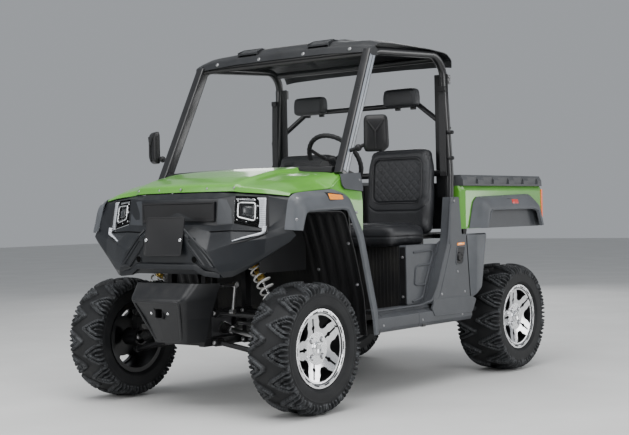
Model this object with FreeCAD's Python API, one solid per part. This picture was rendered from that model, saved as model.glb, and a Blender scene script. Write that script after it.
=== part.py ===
import FreeCAD, Part
import math
import os

# Side by side utility vehicle, in millimetres. The front faces -Y, the driver's side is +X, +Z is up, and the
# origin is on the ground under the middle of the wheelbase.

V = FreeCAD.Vector
CENTRE = V(0, 0, 0)
X_AXIS = V(1, 0, 0)
Y_AXIS = V(0, 1, 0)
Z_AXIS = V(0, 0, 1)

# Fits
SEAT_GAP = 0.3
RUNNING_GAP = 0.2
MOVING_GAP = 6.0

# Wheels and axles
WHEELBASE = 2000.0
TYRE_RADIUS = 330.0
TYRE_OUTER_X = 760.0
FRONT_TYRE_WIDTH = 229.0
REAR_TYRE_WIDTH = 279.0
LUG_HEIGHT = 18.0
LUG_PITCHES = 14
LUG_GAP = 0.43
RIM_SEAT_RADIUS = 178.0
RIM_FLANGE_RADIUS = 196.0
RIM_WALL = 6.0
FLANGE_WIDTH = 6.0
FLANGE_INSET = 22.5
SPOKE_COUNT = 5
NUT_COUNT = 4
NUT_CIRCLE = 58.0
NUT_RADIUS = 10.0
HUB_RECESS = 27.0
SPOKE_DEPTH = 20.0

FRONT_AXLE_Y = -WHEELBASE / 2
REAR_AXLE_Y = WHEELBASE / 2
AXLE_Z = TYRE_RADIUS

# The body's outlines are typed with the axles 1000 from the middle. With another wheelbase the nose and the tail
# stay with their own axle.
NOSE_SHIFT = FRONT_AXLE_Y + 1000
TAIL_SHIFT = REAR_AXLE_Y - 1000

# Steering
KINGPIN_X = 550.0
KINGPIN_RADIUS = 10.0
STEER_ARM = 100.0
ROD_END_INSET = 20.0
ROD_END_RADIUS = 12.0
RACK_Z = 425.0
RACK_RADIUS = 11.0
TIE_ROD_RADIUS = 8.0
STEERING_WHEEL_RADIUS = 178.0
STEERING_WHEEL_GRIP = 14.0
STEERING_CENTRE = V(340, -322 + NOSE_SHIFT, 1285)
COLUMN_TILT = 35.0
COLUMN_RADIUS = 14.0

# Suspension
UPPER_ARM_Z = 495.0
LOWER_ARM_Z = 345.0
UPPER_BALL_Z = AXLE_Z + 140.0
LOWER_BALL_Z = AXLE_Z - 68.0
STEER_PLATE_Z = AXLE_Z + 69.0
STEER_PLATE = 12.0
ARM_SPREAD = 110.0
ARM_RADIUS = 14.0
EYE_RADIUS = 22.0
STUB_RADIUS = 18.0
SHAFT_RADIUS = 13.0
JOINT_BALL_RADIUS = 27.0
CARRIER_RADIUS = 48.0
CARRIER_CAVITY = 36.0
REAR_PIVOT_X = 470.0
DAMPER_RADIUS = 20.0
SHOCK_EYE = 15.0
SPRING_RADIUS = 42.0
SPRING_WIRE = 10.0
SPRING_TURNS = 8

# Frame
RAIL_X = 120.0
RAIL_SECTION = 40.0
RAIL_Z = 325.0
PIVOT_RAIL_X = 120.0
PIVOT_RAIL_SECTION = 30.0
EAR = 8.0
SHAFT_Z = 380.0
OUTPUT_Z = 410.0
FRONT_BOX_X = 92.0
REAR_BOX_X = 96.0
ENGINE_FRONT_Y = 480.0
ENGINE_REAR_Y = REAR_AXLE_Y - 220.0
SIDE_RAIL_X = 570.0
SIDE_RAIL_SECTION = 40.0
TOWER_Z = 815.0

# Cage
CAGE_TUBE = 24.0
CAGE_BEND = 125.0
A_BASE = V(640, -665 + NOSE_SHIFT, 1200)
A_TOP = V(612, -345 + NOSE_SHIFT, 1868)
RAIL_REAR = V(612, 372, 1905)
B_MID = V(655, 365, 1200)
B_BASE = V(655, 330, 396)
LEG_FOOT = V(622, -560 + NOSE_SHIFT, 396)

# Panels
PANEL = 4.0
FLOOR_Z = 410.0
SEAT_FRONT_Y = -92.0
SEAT_REAR_Y = 345.0
SEAT_BASE_X = 598.0
SEAT_SIDE_X = 648.0
FLOOR_X = 601.0
SEAT_BASE_Z = 800.0
SILL_TOP_Z = 472.0
SILL_BOTTOM_Z = 352.0
SILL_X = 700.0

# Cargo bed
BED_FRONT_Y = 412.0
BED_REAR_Y = REAR_AXLE_Y + 392.0
BED_SIDE_X = 710.0
BED_SIDE_DEPTH = 70.0
BED_WALL_X = BED_SIDE_X - BED_SIDE_DEPTH
BED_FLOOR_Z = 886.0
BED_SKIN_TOP_Z = 1138.0
BED_RAIL_Z = 1202.0
BED_PIVOT_Y = REAR_AXLE_Y + 300.0
BED_PIVOT_Z = 850.0
BED_PIN_RADIUS = 12.0
GATE_INSET = 40.0
GATE_HALF = BED_WALL_X - GATE_INSET
GATE_THICK = 26.0
GATE_PIN_RADIUS = 8.0
GATE_PIVOT_Z = 905.0
GATE_TOP_Z = 1180.0

os.makedirs("parts", exist_ok=True)


def box(x0, x1, y0, y1, z0, z1):
    """Upright box between two corners."""
    return Part.makeBox(x1 - x0, y1 - y0, z1 - z0, V(x0, y0, z0))


def rod(start, end, radius):
    """Round bar from one point to another."""
    run = end - start
    return Part.makeCylinder(radius, run.Length, start, run)


def mirrored(shape):
    """The same piece on the other side of the vehicle."""
    return shape.mirror(CENTRE, X_AXIS)


def pair(shape):
    """Left and right copies, apart from each other."""
    return Part.makeCompound([shape, mirrored(shape)])


def fused(shapes):
    """One solid from pieces that overlap or share a face."""
    return shapes[0].multiFuse(shapes[1:]).removeSplitter()


def to_nose(shape):
    """Front body piece, kept to the front axle."""
    return shape.translated(V(0, NOSE_SHIFT, 0))


def to_tail(shape):
    """Rear body piece, kept to the rear axle."""
    return shape.translated(V(0, TAIL_SHIFT, 0))


def prism(points, run):
    """Flat outline pushed along a vector."""
    outline = Part.makePolygon(points + points[:1])
    return Part.Face(outline).extrude(run)


def side_plate(outline, x0, x1):
    """Plate between two planes across the vehicle, from an outline of (y, z) points."""
    return prism([V(x0, y, z) for y, z in outline], V(x1 - x0, 0, 0))


def closed(faces):
    """Solid from facets that meet edge to edge."""
    sheet = Part.makeCompound(faces)
    sheet.sewShape()
    solid = Part.makeSolid(sheet.Shells[0])
    if solid.Volume < 0:
        solid.reverse()
    return solid


def facets(a, b, c, d):
    """Two triangles for a four-sided cell, folded outwards where its corners aren't in one plane."""
    normal = (c - a).cross(d - b)
    if ((a + c) - (b + d)).dot(normal) >= 0:
        triangles = [(a, b, c), (a, c, d)]
    else:
        triangles = [(a, b, d), (b, c, d)]
    return [Part.Face(Part.makePolygon([p, q, r, p])) for p, q, r in triangles]


def panel(rows, thick=PANEL, skip=()):
    """Moulded sheet from rows of outer points. Its back lies one wall behind, along the mean normal of the cells
    round each point. Cells listed in skip are left open."""
    cells = [(i, j) for i in range(len(rows) - 1) for j in range(len(rows[0]) - 1) if (i, j) not in skip]
    normals = [[V(0, 0, 0) for _ in row] for row in rows]
    for i, j in cells:
        ring = [(i, j), (i + 1, j), (i + 1, j + 1), (i, j + 1)]
        a, b, c, d = [rows[p][q] for p, q in ring]
        normal = (c - a).cross(d - b)
        normal.normalize()
        for p, q in ring:
            normals[p][q] = normals[p][q] + normal
    back = []
    for row, row_normals in zip(rows, normals):
        line = []
        for point, normal in zip(row, row_normals):
            if normal.Length > 0:
                normal.normalize()
            line.append(point - normal * thick)
        back.append(line)
    faces = []
    for i, j in cells:
        ring = [(i, j), (i + 1, j), (i + 1, j + 1), (i, j + 1)]
        faces += facets(*[rows[p][q] for p, q in ring])
        faces += facets(*[back[p][q] for p, q in reversed(ring)])
        beyond = [(i, j - 1), (i + 1, j), (i, j + 1), (i - 1, j)]
        for k, neighbour in enumerate(beyond):
            if neighbour not in cells:
                p, q = ring[k]
                r, s = ring[(k + 1) % 4]
                faces += facets(rows[p][q], back[p][q], back[r][s], rows[r][s])
    return closed(faces).removeSplitter()


def full_width(rows):
    """Rows of points from the centre line outwards, completed with their mirror images."""
    return [[V(-p.x, p.y, p.z) for p in reversed(row[1:])] + row for row in rows]


def bent_bar(points, radius, bend):
    """Round bar along straight runs joined by arcs that are tangent to both."""
    edges = []
    start = points[0]
    for before, corner, after in zip(points, points[1:], points[2:]):
        u = (before - corner).normalize()
        w = (after - corner).normalize()
        half = u.getAngle(w) / 2
        reach = bend / math.tan(half)
        middle = (u + w).normalize()
        first = corner + u * reach
        last = corner + w * reach
        nearest = corner + middle * (bend / math.sin(half) - bend)
        edges.append(Part.makeLine(start, first))
        edges.append(Part.Arc(first, nearest, last).toShape())
        start = last
    edges.append(Part.makeLine(start, points[-1]))
    section = Part.Wire(Part.makeCircle(radius, points[0], points[1] - points[0]))
    return Part.Wire(edges).makePipeShell([section], True, False)


def ring_solid(rows):
    """Closed ring from rows of points that go round it, each row going round its section."""
    faces = []
    for i, row in enumerate(rows):
        following = rows[(i + 1) % len(rows)]
        for j, point in enumerate(row):
            k = (j + 1) % len(row)
            faces += facets(point, following[j], following[k], row[k])
    return closed(faces)


def tyre(width):
    """Mud tyre about the X axis, centred on its own middle plane: a carcass with V-shaped lugs.

    Each pitch has four lines across the tread: foot, top, top and foot of one lug. The lines lag towards the
    shoulders, which makes the V."""
    half = width / 2
    bead = half - FLANGE_INSET
    crown = TYRE_RADIUS - LUG_HEIGHT
    widest_step = math.radians(360.0 / LUG_PITCHES * LUG_GAP)
    seat = (RIM_SEAT_RADIUS + SEAT_GAP) / math.cos(widest_step / 2)
    # across from the middle plane, radius of the carcass, share of the lug's height, lag in degrees
    half_section = [
        (half * 0.58, crown - 4, 1.0, 6.0),
        (half * 0.90, crown - 16, 1.1, 9.0),
        (half * 0.985, crown - 42, 0.35, 9.5),
        (half - 1.5, RIM_FLANGE_RADIUS + 44, 0.0, 9.5),
        (bead, RIM_FLANGE_RADIUS + 1.5, 0.0, 9.5),
        (bead - 2, seat, 0.0, 9.5),
    ]
    apex = (0.0, crown, 1.0, 0.0)
    section = [(-x, r, lug, lag) for x, r, lug, lag in reversed(half_section)] + [apex] + half_section
    # place within a pitch, and whether the line is on top of the lug
    flank = 0.07
    lines = [(0.0, 0), (flank, 1), (1 - LUG_GAP - flank, 1), (1 - LUG_GAP, 0)]
    rows = []
    for pitch in range(LUG_PITCHES):
        for place, raised in lines:
            row = []
            for across, radius, lug, lag in section:
                turn = math.radians(360.0 * (pitch + place - flank) / LUG_PITCHES + lag - 90)
                r = radius + raised * lug * LUG_HEIGHT
                row.append(V(across, r * math.cos(turn), r * math.sin(turn)))
            rows.append(row)
    return ring_solid(rows)


def turned(profile):
    """Solid of revolution about the X axis from (x, radius) points."""
    outline = Part.makePolygon([V(x, r, 0) for x, r in profile + profile[:1]])
    return Part.Face(outline).revolve(CENTRE, X_AXIS, 360)


def around(shape, turn):
    """Copy of a piece turned about the X axis, in degrees."""
    return shape.rotated(CENTRE, X_AXIS, turn)


def rim(width, stub_end):
    """Alloy wheel about the X axis with its face towards +X: barrel, dished disc with U-shaped windows and a slot in
    each spoke, nuts, cap, brake disc and stub shaft."""
    flange = width / 2 - FLANGE_INSET + SEAT_GAP
    edge = flange + FLANGE_WIDTH
    inner = RIM_SEAT_RADIUS - RIM_WALL
    barrel = turned(
        [(-edge, inner), (-edge, RIM_FLANGE_RADIUS), (-flange, RIM_FLANGE_RADIUS), (-flange, RIM_SEAT_RADIUS),
         (flange, RIM_SEAT_RADIUS), (flange, RIM_FLANGE_RADIUS), (edge, RIM_FLANGE_RADIUS), (edge, inner + 10),
         (edge - 5, inner + 3), (flange - 16, inner)]
    )
    face = edge - HUB_RECESS
    back = face - SPOKE_DEPTH
    disc = turned([(back, 0), (back, 78), (edge - 34, inner + 3), (edge - 8, inner + 3), (edge - 9, inner - 8),
                   (face, 82), (face, 0)])
    window_foot = inner - 38
    spread = math.radians(22)
    outer = inner - 7
    run = V(2 * SPOKE_DEPTH + 60, 0, 0)
    start = back - 30
    side = V(start, window_foot - 6, 33)
    corner = V(start, outer * math.cos(spread), outer * math.sin(spread))
    mirror_side = V(side.x, side.y, -side.z)
    mirror_corner = V(corner.x, corner.y, -corner.z)
    arc = Part.Arc(corner, V(start, outer, 0), mirror_corner).toShape()
    foot = Part.Arc(mirror_side, V(start, window_foot - 34, 0), side).toShape()
    rim_sides = [Part.makeLine(side, corner), Part.makeLine(mirror_corner, mirror_side)]
    window = Part.Face(Part.Wire([rim_sides[0], arc, rim_sides[1], foot])).extrude(run)
    slot = box(start, start + run.x, 80, inner - 14, -6, 6)
    bulge = Part.makeCylinder(12, run.x, V(start, 108, 0), X_AXIS)
    cuts = []
    step = 360.0 / SPOKE_COUNT
    for n in range(SPOKE_COUNT):
        cuts += [around(window, n * step), around(slot, (n + 0.5) * step), around(bulge, (n + 0.5) * step)]
    disc = disc.cut(cuts)
    cap = turned([(face - 4, 0), (face - 4, 36), (face + 5, 34), (face + 9, 28), (face + 9, 0)])
    hub = Part.makeCylinder(62, 30, V(back - 28, 0, 0), X_AXIS)
    brake = Part.makeCylinder(112, 8, V(back - 28, 0, 0), X_AXIS)
    stub = Part.makeCylinder(STUB_RADIUS, back - 24 - stub_end, V(stub_end, 0, 0), X_AXIS)
    pieces = [barrel, disc, cap, hub, brake, stub]
    for n in range(NUT_COUNT):
        nut = Part.makeCylinder(NUT_RADIUS, 14, V(face - 4, NUT_CIRCLE, 0), X_AXIS)
        pieces.append(around(nut, 45 + n * 360.0 / NUT_COUNT))
    return fused(pieces)


def placed(shape, x, y, z):
    """Copy of a wheel piece at its hub."""
    copy = shape.copy()
    copy.translate(V(x, y, z))
    return copy


def wheels():
    """Tyres and rims of all four corners: the right ones are mirror images of the left ones."""
    nodes = {}
    # axle, its place along the vehicle, tyre width, where the stub shaft ends inboard
    for axle, y, width, stub_x in (
        ("front", FRONT_AXLE_Y, FRONT_TYRE_WIDTH, KINGPIN_X + JOINT_BALL_RADIUS + 12),
        ("rear", REAR_AXLE_Y, REAR_TYRE_WIDTH, REAR_PIVOT_X + JOINT_BALL_RADIUS + 12),
    ):
        middle = TYRE_OUTER_X - width / 2
        for name, shape in (("tyre", tyre(width)), ("rim", rim(width, stub_x - middle))):
            left = placed(shape, middle, y, AXLE_Z)
            nodes[f"{name}_{axle}_left"] = left
            nodes[f"{name}_{axle}_right"] = mirrored(left)
    return nodes


def knuckle():
    """Left steering knuckle: bearing carrier round the drive joint, kingpin ends and steering arm."""
    axle = V(0, FRONT_AXLE_Y, AXLE_Z)
    inboard = KINGPIN_X - 30
    bearing_x = KINGPIN_X + JOINT_BALL_RADIUS + 8
    outboard = KINGPIN_X + 72
    carrier = Part.makeCylinder(CARRIER_RADIUS, outboard - inboard, V(inboard, axle.y, axle.z), X_AXIS)
    cavity = Part.makeCylinder(CARRIER_CAVITY, bearing_x - inboard, V(inboard, axle.y, axle.z), X_AXIS)
    bore = Part.makeCylinder(STUB_RADIUS + RUNNING_GAP, 200, V(inboard, axle.y, axle.z), X_AXIS)
    pieces = [carrier]
    # ball height, direction from the axle, and the eye's half height
    for ball_z, sign in ((UPPER_BALL_Z, 1), (LOWER_BALL_Z, -1)):
        near = AXLE_Z + sign * (CARRIER_RADIUS - 8)
        shoulder = ball_z - sign * (ARM_RADIUS + MOVING_GAP + 2)
        low, high = sorted((near, shoulder))
        pieces.append(box(KINGPIN_X - 18, KINGPIN_X + 18, axle.y - 18, axle.y + 18, low, high))
        low, high = sorted((shoulder, ball_z + sign * (ARM_RADIUS + 4)))
        pieces.append(Part.makeCylinder(KINGPIN_RADIUS, high - low, V(KINGPIN_X, axle.y, low), Z_AXIS))
    end = V(KINGPIN_X - ROD_END_INSET, axle.y + STEER_ARM, STEER_PLATE_Z)
    root = [V(KINGPIN_X - 18, axle.y, end.z), V(KINGPIN_X + 5, axle.y, end.z)]
    pieces.append(prism(root + [end + V(ROD_END_RADIUS, 0, 0), end - V(ROD_END_RADIUS, 0, 0)], V(0, 0, STEER_PLATE)))
    pieces.append(Part.makeCylinder(ROD_END_RADIUS, STEER_PLATE, end, Z_AXIS))
    pieces.append(box(KINGPIN_X - 18, KINGPIN_X + 5, axle.y - 18, axle.y + 18, AXLE_Z + 30, end.z + STEER_PLATE))
    return fused(pieces).cut([cavity, bore]).removeSplitter()


def steering_rack():
    """Sliding rack with both tie rods. Each rod end lies on its knuckle's arm."""
    y = FRONT_AXLE_Y + STEER_ARM
    end_x = KINGPIN_X - ROD_END_INSET
    end_z = STEER_PLATE_Z + STEER_PLATE + 14
    bar = Part.makeCylinder(RACK_RADIUS, 2 * 200, V(-200, y, RACK_Z), X_AXIS)
    pieces = [bar]
    for side in (-1, 1):
        pieces.append(rod(V(side * 190, y, RACK_Z), V(side * end_x, y, end_z), TIE_ROD_RADIUS))
        pieces.append(rod(V(side * 195, y, RACK_Z), V(side * 240, y, RACK_Z), 17))
        pieces.append(Part.makeCylinder(ROD_END_RADIUS, 25, V(side * end_x, y, end_z - 14 + SEAT_GAP), Z_AXIS))
    return fused(pieces)


def column_axis():
    """Direction from the dashboard to the driver along the steering column."""
    tilt = math.radians(COLUMN_TILT)
    return V(0, math.cos(tilt), math.sin(tilt))


def steering_wheel():
    """Rim, three spokes, hub and shaft."""
    axis = column_axis()
    grip = Part.makeTorus(STEERING_WHEEL_RADIUS - STEERING_WHEEL_GRIP, STEERING_WHEEL_GRIP, STEERING_CENTRE, axis)
    hub_foot = STEERING_CENTRE - axis * 42
    hub = Part.makeCylinder(46, 34, hub_foot, axis)
    shaft = rod(STEERING_CENTRE - axis * 230, hub_foot + axis * 4, COLUMN_RADIUS)
    pieces = [grip, hub, shaft]
    up = V(0, -math.sin(math.radians(COLUMN_TILT)), math.cos(math.radians(COLUMN_TILT)))
    for turn in (90, 210, 330):
        a = math.radians(turn - 180)
        out = X_AXIS * math.cos(a) + up * math.sin(a)
        start = STEERING_CENTRE - axis * 20 + out * 30
        end = STEERING_CENTRE + out * (STEERING_WHEEL_RADIUS - 1.2 * STEERING_WHEEL_GRIP)
        pieces.append(rod(start, end, 9))
    return fused(pieces)


def arm_pivot_x():
    """Place across the vehicle of the arms' inner pivots, just outside the rails that carry them."""
    return RAIL_X + RAIL_SECTION / 2 + EYE_RADIUS + 1


def arm_set(outer_x, axle_y, inner_z, ball_z, bore):
    """One left A-arm: two legs from the frame to the eye at its outer end."""
    eye = V(outer_x, axle_y, ball_z)
    pieces = [Part.makeCylinder(EYE_RADIUS, 2 * ARM_RADIUS, eye - V(0, 0, ARM_RADIUS), Z_AXIS)]
    for side in (-1, 1):
        foot = V(arm_pivot_x(), axle_y + side * ARM_SPREAD, inner_z)
        towards = V(outer_x - 14, axle_y + side * 6, ball_z)
        pieces.append(rod(foot, towards, ARM_RADIUS))
        pieces.append(Part.makeCylinder(EYE_RADIUS, 44, V(foot.x, foot.y - 22, foot.z), Y_AXIS))
    shape = fused(pieces)
    hole = Part.makeCylinder(bore, 4 * ARM_RADIUS, eye - V(0, 0, 2 * ARM_RADIUS), Z_AXIS)
    return shape.cut(hole)


def front_arms():
    """Upper and lower front arms of both sides, and the stabiliser bar with its links to the upper ones."""
    bore = KINGPIN_RADIUS + RUNNING_GAP
    upper = arm_set(KINGPIN_X, FRONT_AXLE_Y, UPPER_ARM_Z, UPPER_BALL_Z, bore)
    lower = arm_set(KINGPIN_X, FRONT_AXLE_Y, LOWER_ARM_Z, LOWER_BALL_Z, bore)
    bar_z = UPPER_ARM_Z + 146
    bar_y = FRONT_AXLE_Y - 185
    foot = V(253, FRONT_AXLE_Y - 85, UPPER_ARM_Z)
    head = V(273, FRONT_AXLE_Y - 85, bar_z)
    pieces = [upper, mirrored(upper), rod(V(-head.x, bar_y, bar_z), V(head.x, bar_y, bar_z), 9)]
    for side in (-1, 1):
        top = V(side * head.x, head.y, head.z)
        pieces.append(rod(V(side * foot.x, foot.y, foot.z), top, 6))
        pieces.append(rod(V(side * head.x, bar_y, bar_z), top, 9))
        pieces.append(Part.makeCylinder(13, 22, top - V(11, 0, 0), X_AXIS))
        pieces.append(Part.makeSphere(9, V(side * head.x, bar_y, bar_z)))
    return Part.makeCompound([fused(pieces), lower, mirrored(lower)])


def rear_arms():
    """Rear arms, and the hub carriers that they hold: one solid on each side."""
    pieces = []
    for inner_z, ball_z in ((UPPER_ARM_Z, UPPER_BALL_Z), (LOWER_ARM_Z, LOWER_BALL_Z)):
        pieces.append(arm_set(REAR_PIVOT_X, REAR_AXLE_Y, inner_z, ball_z, 4))
    inboard = REAR_PIVOT_X - 30
    bearing_x = REAR_PIVOT_X + JOINT_BALL_RADIUS + 8
    length = REAR_PIVOT_X + 72 - inboard
    carrier = Part.makeCylinder(CARRIER_RADIUS, length, V(inboard, REAR_AXLE_Y, AXLE_Z), X_AXIS)
    post = box(REAR_PIVOT_X - 18, REAR_PIVOT_X + 18, REAR_AXLE_Y - 18, REAR_AXLE_Y + 18, LOWER_BALL_Z, UPPER_BALL_Z)
    cavity = Part.makeCylinder(CARRIER_CAVITY, bearing_x - inboard, V(inboard, REAR_AXLE_Y, AXLE_Z), X_AXIS)
    bore = Part.makeCylinder(STUB_RADIUS + RUNNING_GAP, 200, V(inboard, REAR_AXLE_Y, AXLE_Z), X_AXIS)
    left = fused(pieces + [carrier, post]).cut([cavity, bore]).removeSplitter()
    return pair(left)


def half_shafts():
    """Four drive shafts with their boots and outer joints, and the shaft along the vehicle."""
    solids = []
    # axle place, outer joint, gearbox face, gearbox height
    for y, joint_x, start_x in ((FRONT_AXLE_Y, KINGPIN_X, FRONT_BOX_X), (REAR_AXLE_Y, REAR_PIVOT_X, REAR_BOX_X)):
        joint = V(joint_x, y, AXLE_Z)
        start = V(start_x + SEAT_GAP, y, OUTPUT_Z)
        run = (joint - start).normalize()
        shaft = rod(start, joint, SHAFT_RADIUS)
        ball = Part.makeSphere(JOINT_BALL_RADIUS, joint)
        outer_boot = Part.makeCone(18, 32, 60, joint - run * 126, run)
        inner_boot = Part.makeCone(28, 18, 62, start, run)
        face = box(0, start.x, y - 60, y + 60, OUTPUT_Z - 60, OUTPUT_Z + 60)
        left = fused([shaft, ball, outer_boot, inner_boot]).cut(face)
        solids += [left, mirrored(left)]
    for start_y, end_y in ((FRONT_AXLE_Y + 70, ENGINE_FRONT_Y), (ENGINE_REAR_Y, REAR_AXLE_Y - 110)):
        solids.append(rod(V(0, start_y + SEAT_GAP, SHAFT_Z), V(0, end_y - SEAT_GAP, SHAFT_Z), 16))
    return Part.makeCompound(solids)


def drive_units():
    """Front gearbox and rear gearbox as plain housings."""
    base = RAIL_Z + RAIL_SECTION - 5
    front = box(-FRONT_BOX_X, FRONT_BOX_X, FRONT_AXLE_Y - 95, FRONT_AXLE_Y + 70, base, 470)
    rear = box(-REAR_BOX_X, REAR_BOX_X, REAR_AXLE_Y - 110, REAR_AXLE_Y + 130, base, 520)
    return [front, rear]


def engine():
    """Engine as one plain block on the rails, ahead of the rear gearbox, with a way for the shaft below."""
    body = box(-230, 230, ENGINE_FRONT_Y, ENGINE_REAR_Y, RAIL_Z + RAIL_SECTION, 760)
    return body.cut(box(-RAIL_X, RAIL_X, ENGINE_FRONT_Y + 60, ENGINE_REAR_Y - 60, RAIL_Z, RAIL_Z + RAIL_SECTION + 1))


def shock_ends(outer_x, y):
    """Upper and lower eye of a left shock."""
    top = V(290, y, TOWER_Z - SHOCK_EYE - SEAT_GAP)
    end_x = KINGPIN_X if y < 0 else REAR_PIVOT_X
    along = (outer_x - arm_pivot_x()) / (end_x - arm_pivot_x())
    arm_z = UPPER_ARM_Z + (UPPER_BALL_Z - UPPER_ARM_Z) * along
    foot = V(outer_x, y, arm_z + ARM_RADIUS + SHOCK_EYE + 1)
    return top, foot


def shocks():
    """Damper bodies and rods of all four corners."""
    solids = []
    for outer_x, y in ((466, FRONT_AXLE_Y), (420, REAR_AXLE_Y)):
        top, foot = shock_ends(outer_x, y)
        run = (foot - top).normalize()
        length = (foot - top).Length
        body = rod(top + run * 16, top + run * length * 0.55, DAMPER_RADIUS)
        stem = rod(top, foot, 9)
        pieces = [body, stem]
        for end, turn in ((top, Y_AXIS), (foot, Y_AXIS)):
            pieces.append(Part.makeCylinder(SHOCK_EYE, 36, end - turn * 18, turn))
        for place in (26, length - 34):
            pieces.append(rod(top + run * place, top + run * (place + 6), SPRING_RADIUS + 4))
        left = fused(pieces)
        solids += [left, mirrored(left)]
    return Part.makeCompound(solids)


def coil(start, end, radius, wire, turns):
    """Coil spring as a square wire along a faceted helix between two seats."""
    axis = (end - start).normalize()
    side = axis.cross(Y_AXIS).normalize()
    other = axis.cross(side)
    steps = turns * 10
    rise = (end - start).Length - wire
    rows = []
    for n in range(steps + 1):
        a = 2 * math.pi * n / 10
        out = side * math.cos(a) + other * math.sin(a)
        middle = start + axis * (wire / 2 + rise * n / steps)
        half = wire / 2
        rows.append([middle + out * (radius - half) + axis * half, middle + out * (radius + half) + axis * half,
                     middle + out * (radius + half) - axis * half, middle + out * (radius - half) - axis * half])
    faces = []
    for before, after in zip(rows, rows[1:]):
        for j in range(4):
            k = (j + 1) % 4
            faces += facets(before[j], after[j], after[k], before[k])
    faces += facets(*rows[0])
    faces += facets(*reversed(rows[-1]))
    return closed(faces)


def springs():
    """The four coil springs round the shocks."""
    solids = []
    for outer_x, y in ((466, FRONT_AXLE_Y), (420, REAR_AXLE_Y)):
        top, foot = shock_ends(outer_x, y)
        run = (foot - top).normalize()
        length = (foot - top).Length
        left = coil(top + run * (32 + SEAT_GAP), top + run * (length - 34 - SEAT_GAP), SPRING_RADIUS - 4,
                    SPRING_WIRE, SPRING_TURNS)
        solids += [left, mirrored(left)]
    return Part.makeCompound(solids)


def across(side, x0, x1, y0, y1, z0, z1):
    """Box on one side of the vehicle, from its distances to the middle."""
    low, high = sorted((side * x0, side * x1))
    return box(low, high, y0, y1, z0, z1)


def arm_mounts(side, axle_y):
    """Ears on both sides of each arm pivot, on the main rail and on the pivot rail above it."""
    x0 = RAIL_X
    x1 = arm_pivot_x() + 16
    reach = EYE_RADIUS + SEAT_GAP
    pieces = []
    for z in (LOWER_ARM_Z, UPPER_ARM_Z):
        for place in (-ARM_SPREAD, ARM_SPREAD):
            y = axle_y + place
            pieces.append(across(side, x0, x1, y - reach - EAR, y - reach, z - 18, z + 18))
            pieces.append(across(side, x0, x1, y + reach, y + reach + EAR, z - 18, z + 18))
    return pieces


def axle_tower(side, axle_y):
    """Uprights, pivot rail, top rail and shock bracket over one axle."""
    half = PIVOT_RAIL_SECTION / 2
    x0 = PIVOT_RAIL_X - half
    x1 = PIVOT_RAIL_X + half
    front = axle_y - 150
    rear = axle_y + 160
    pieces = []
    for y in (front, rear):
        pieces.append(across(side, x0, x1, y - 20, y + 20, RAIL_Z + RAIL_SECTION - 5, TOWER_Z + 10))
    pieces.append(across(side, x0, x1 + 5, front - 20, rear + 20, UPPER_ARM_Z - half, UPPER_ARM_Z + half))
    pieces.append(across(side, x0, x1, front - 20, rear + 20, TOWER_Z, TOWER_Z + 30))
    pieces.append(across(side, x0, 306, axle_y - 17, axle_y + 17, TOWER_Z, TOWER_Z + 28))
    return pieces + arm_mounts(side, axle_y)


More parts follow.
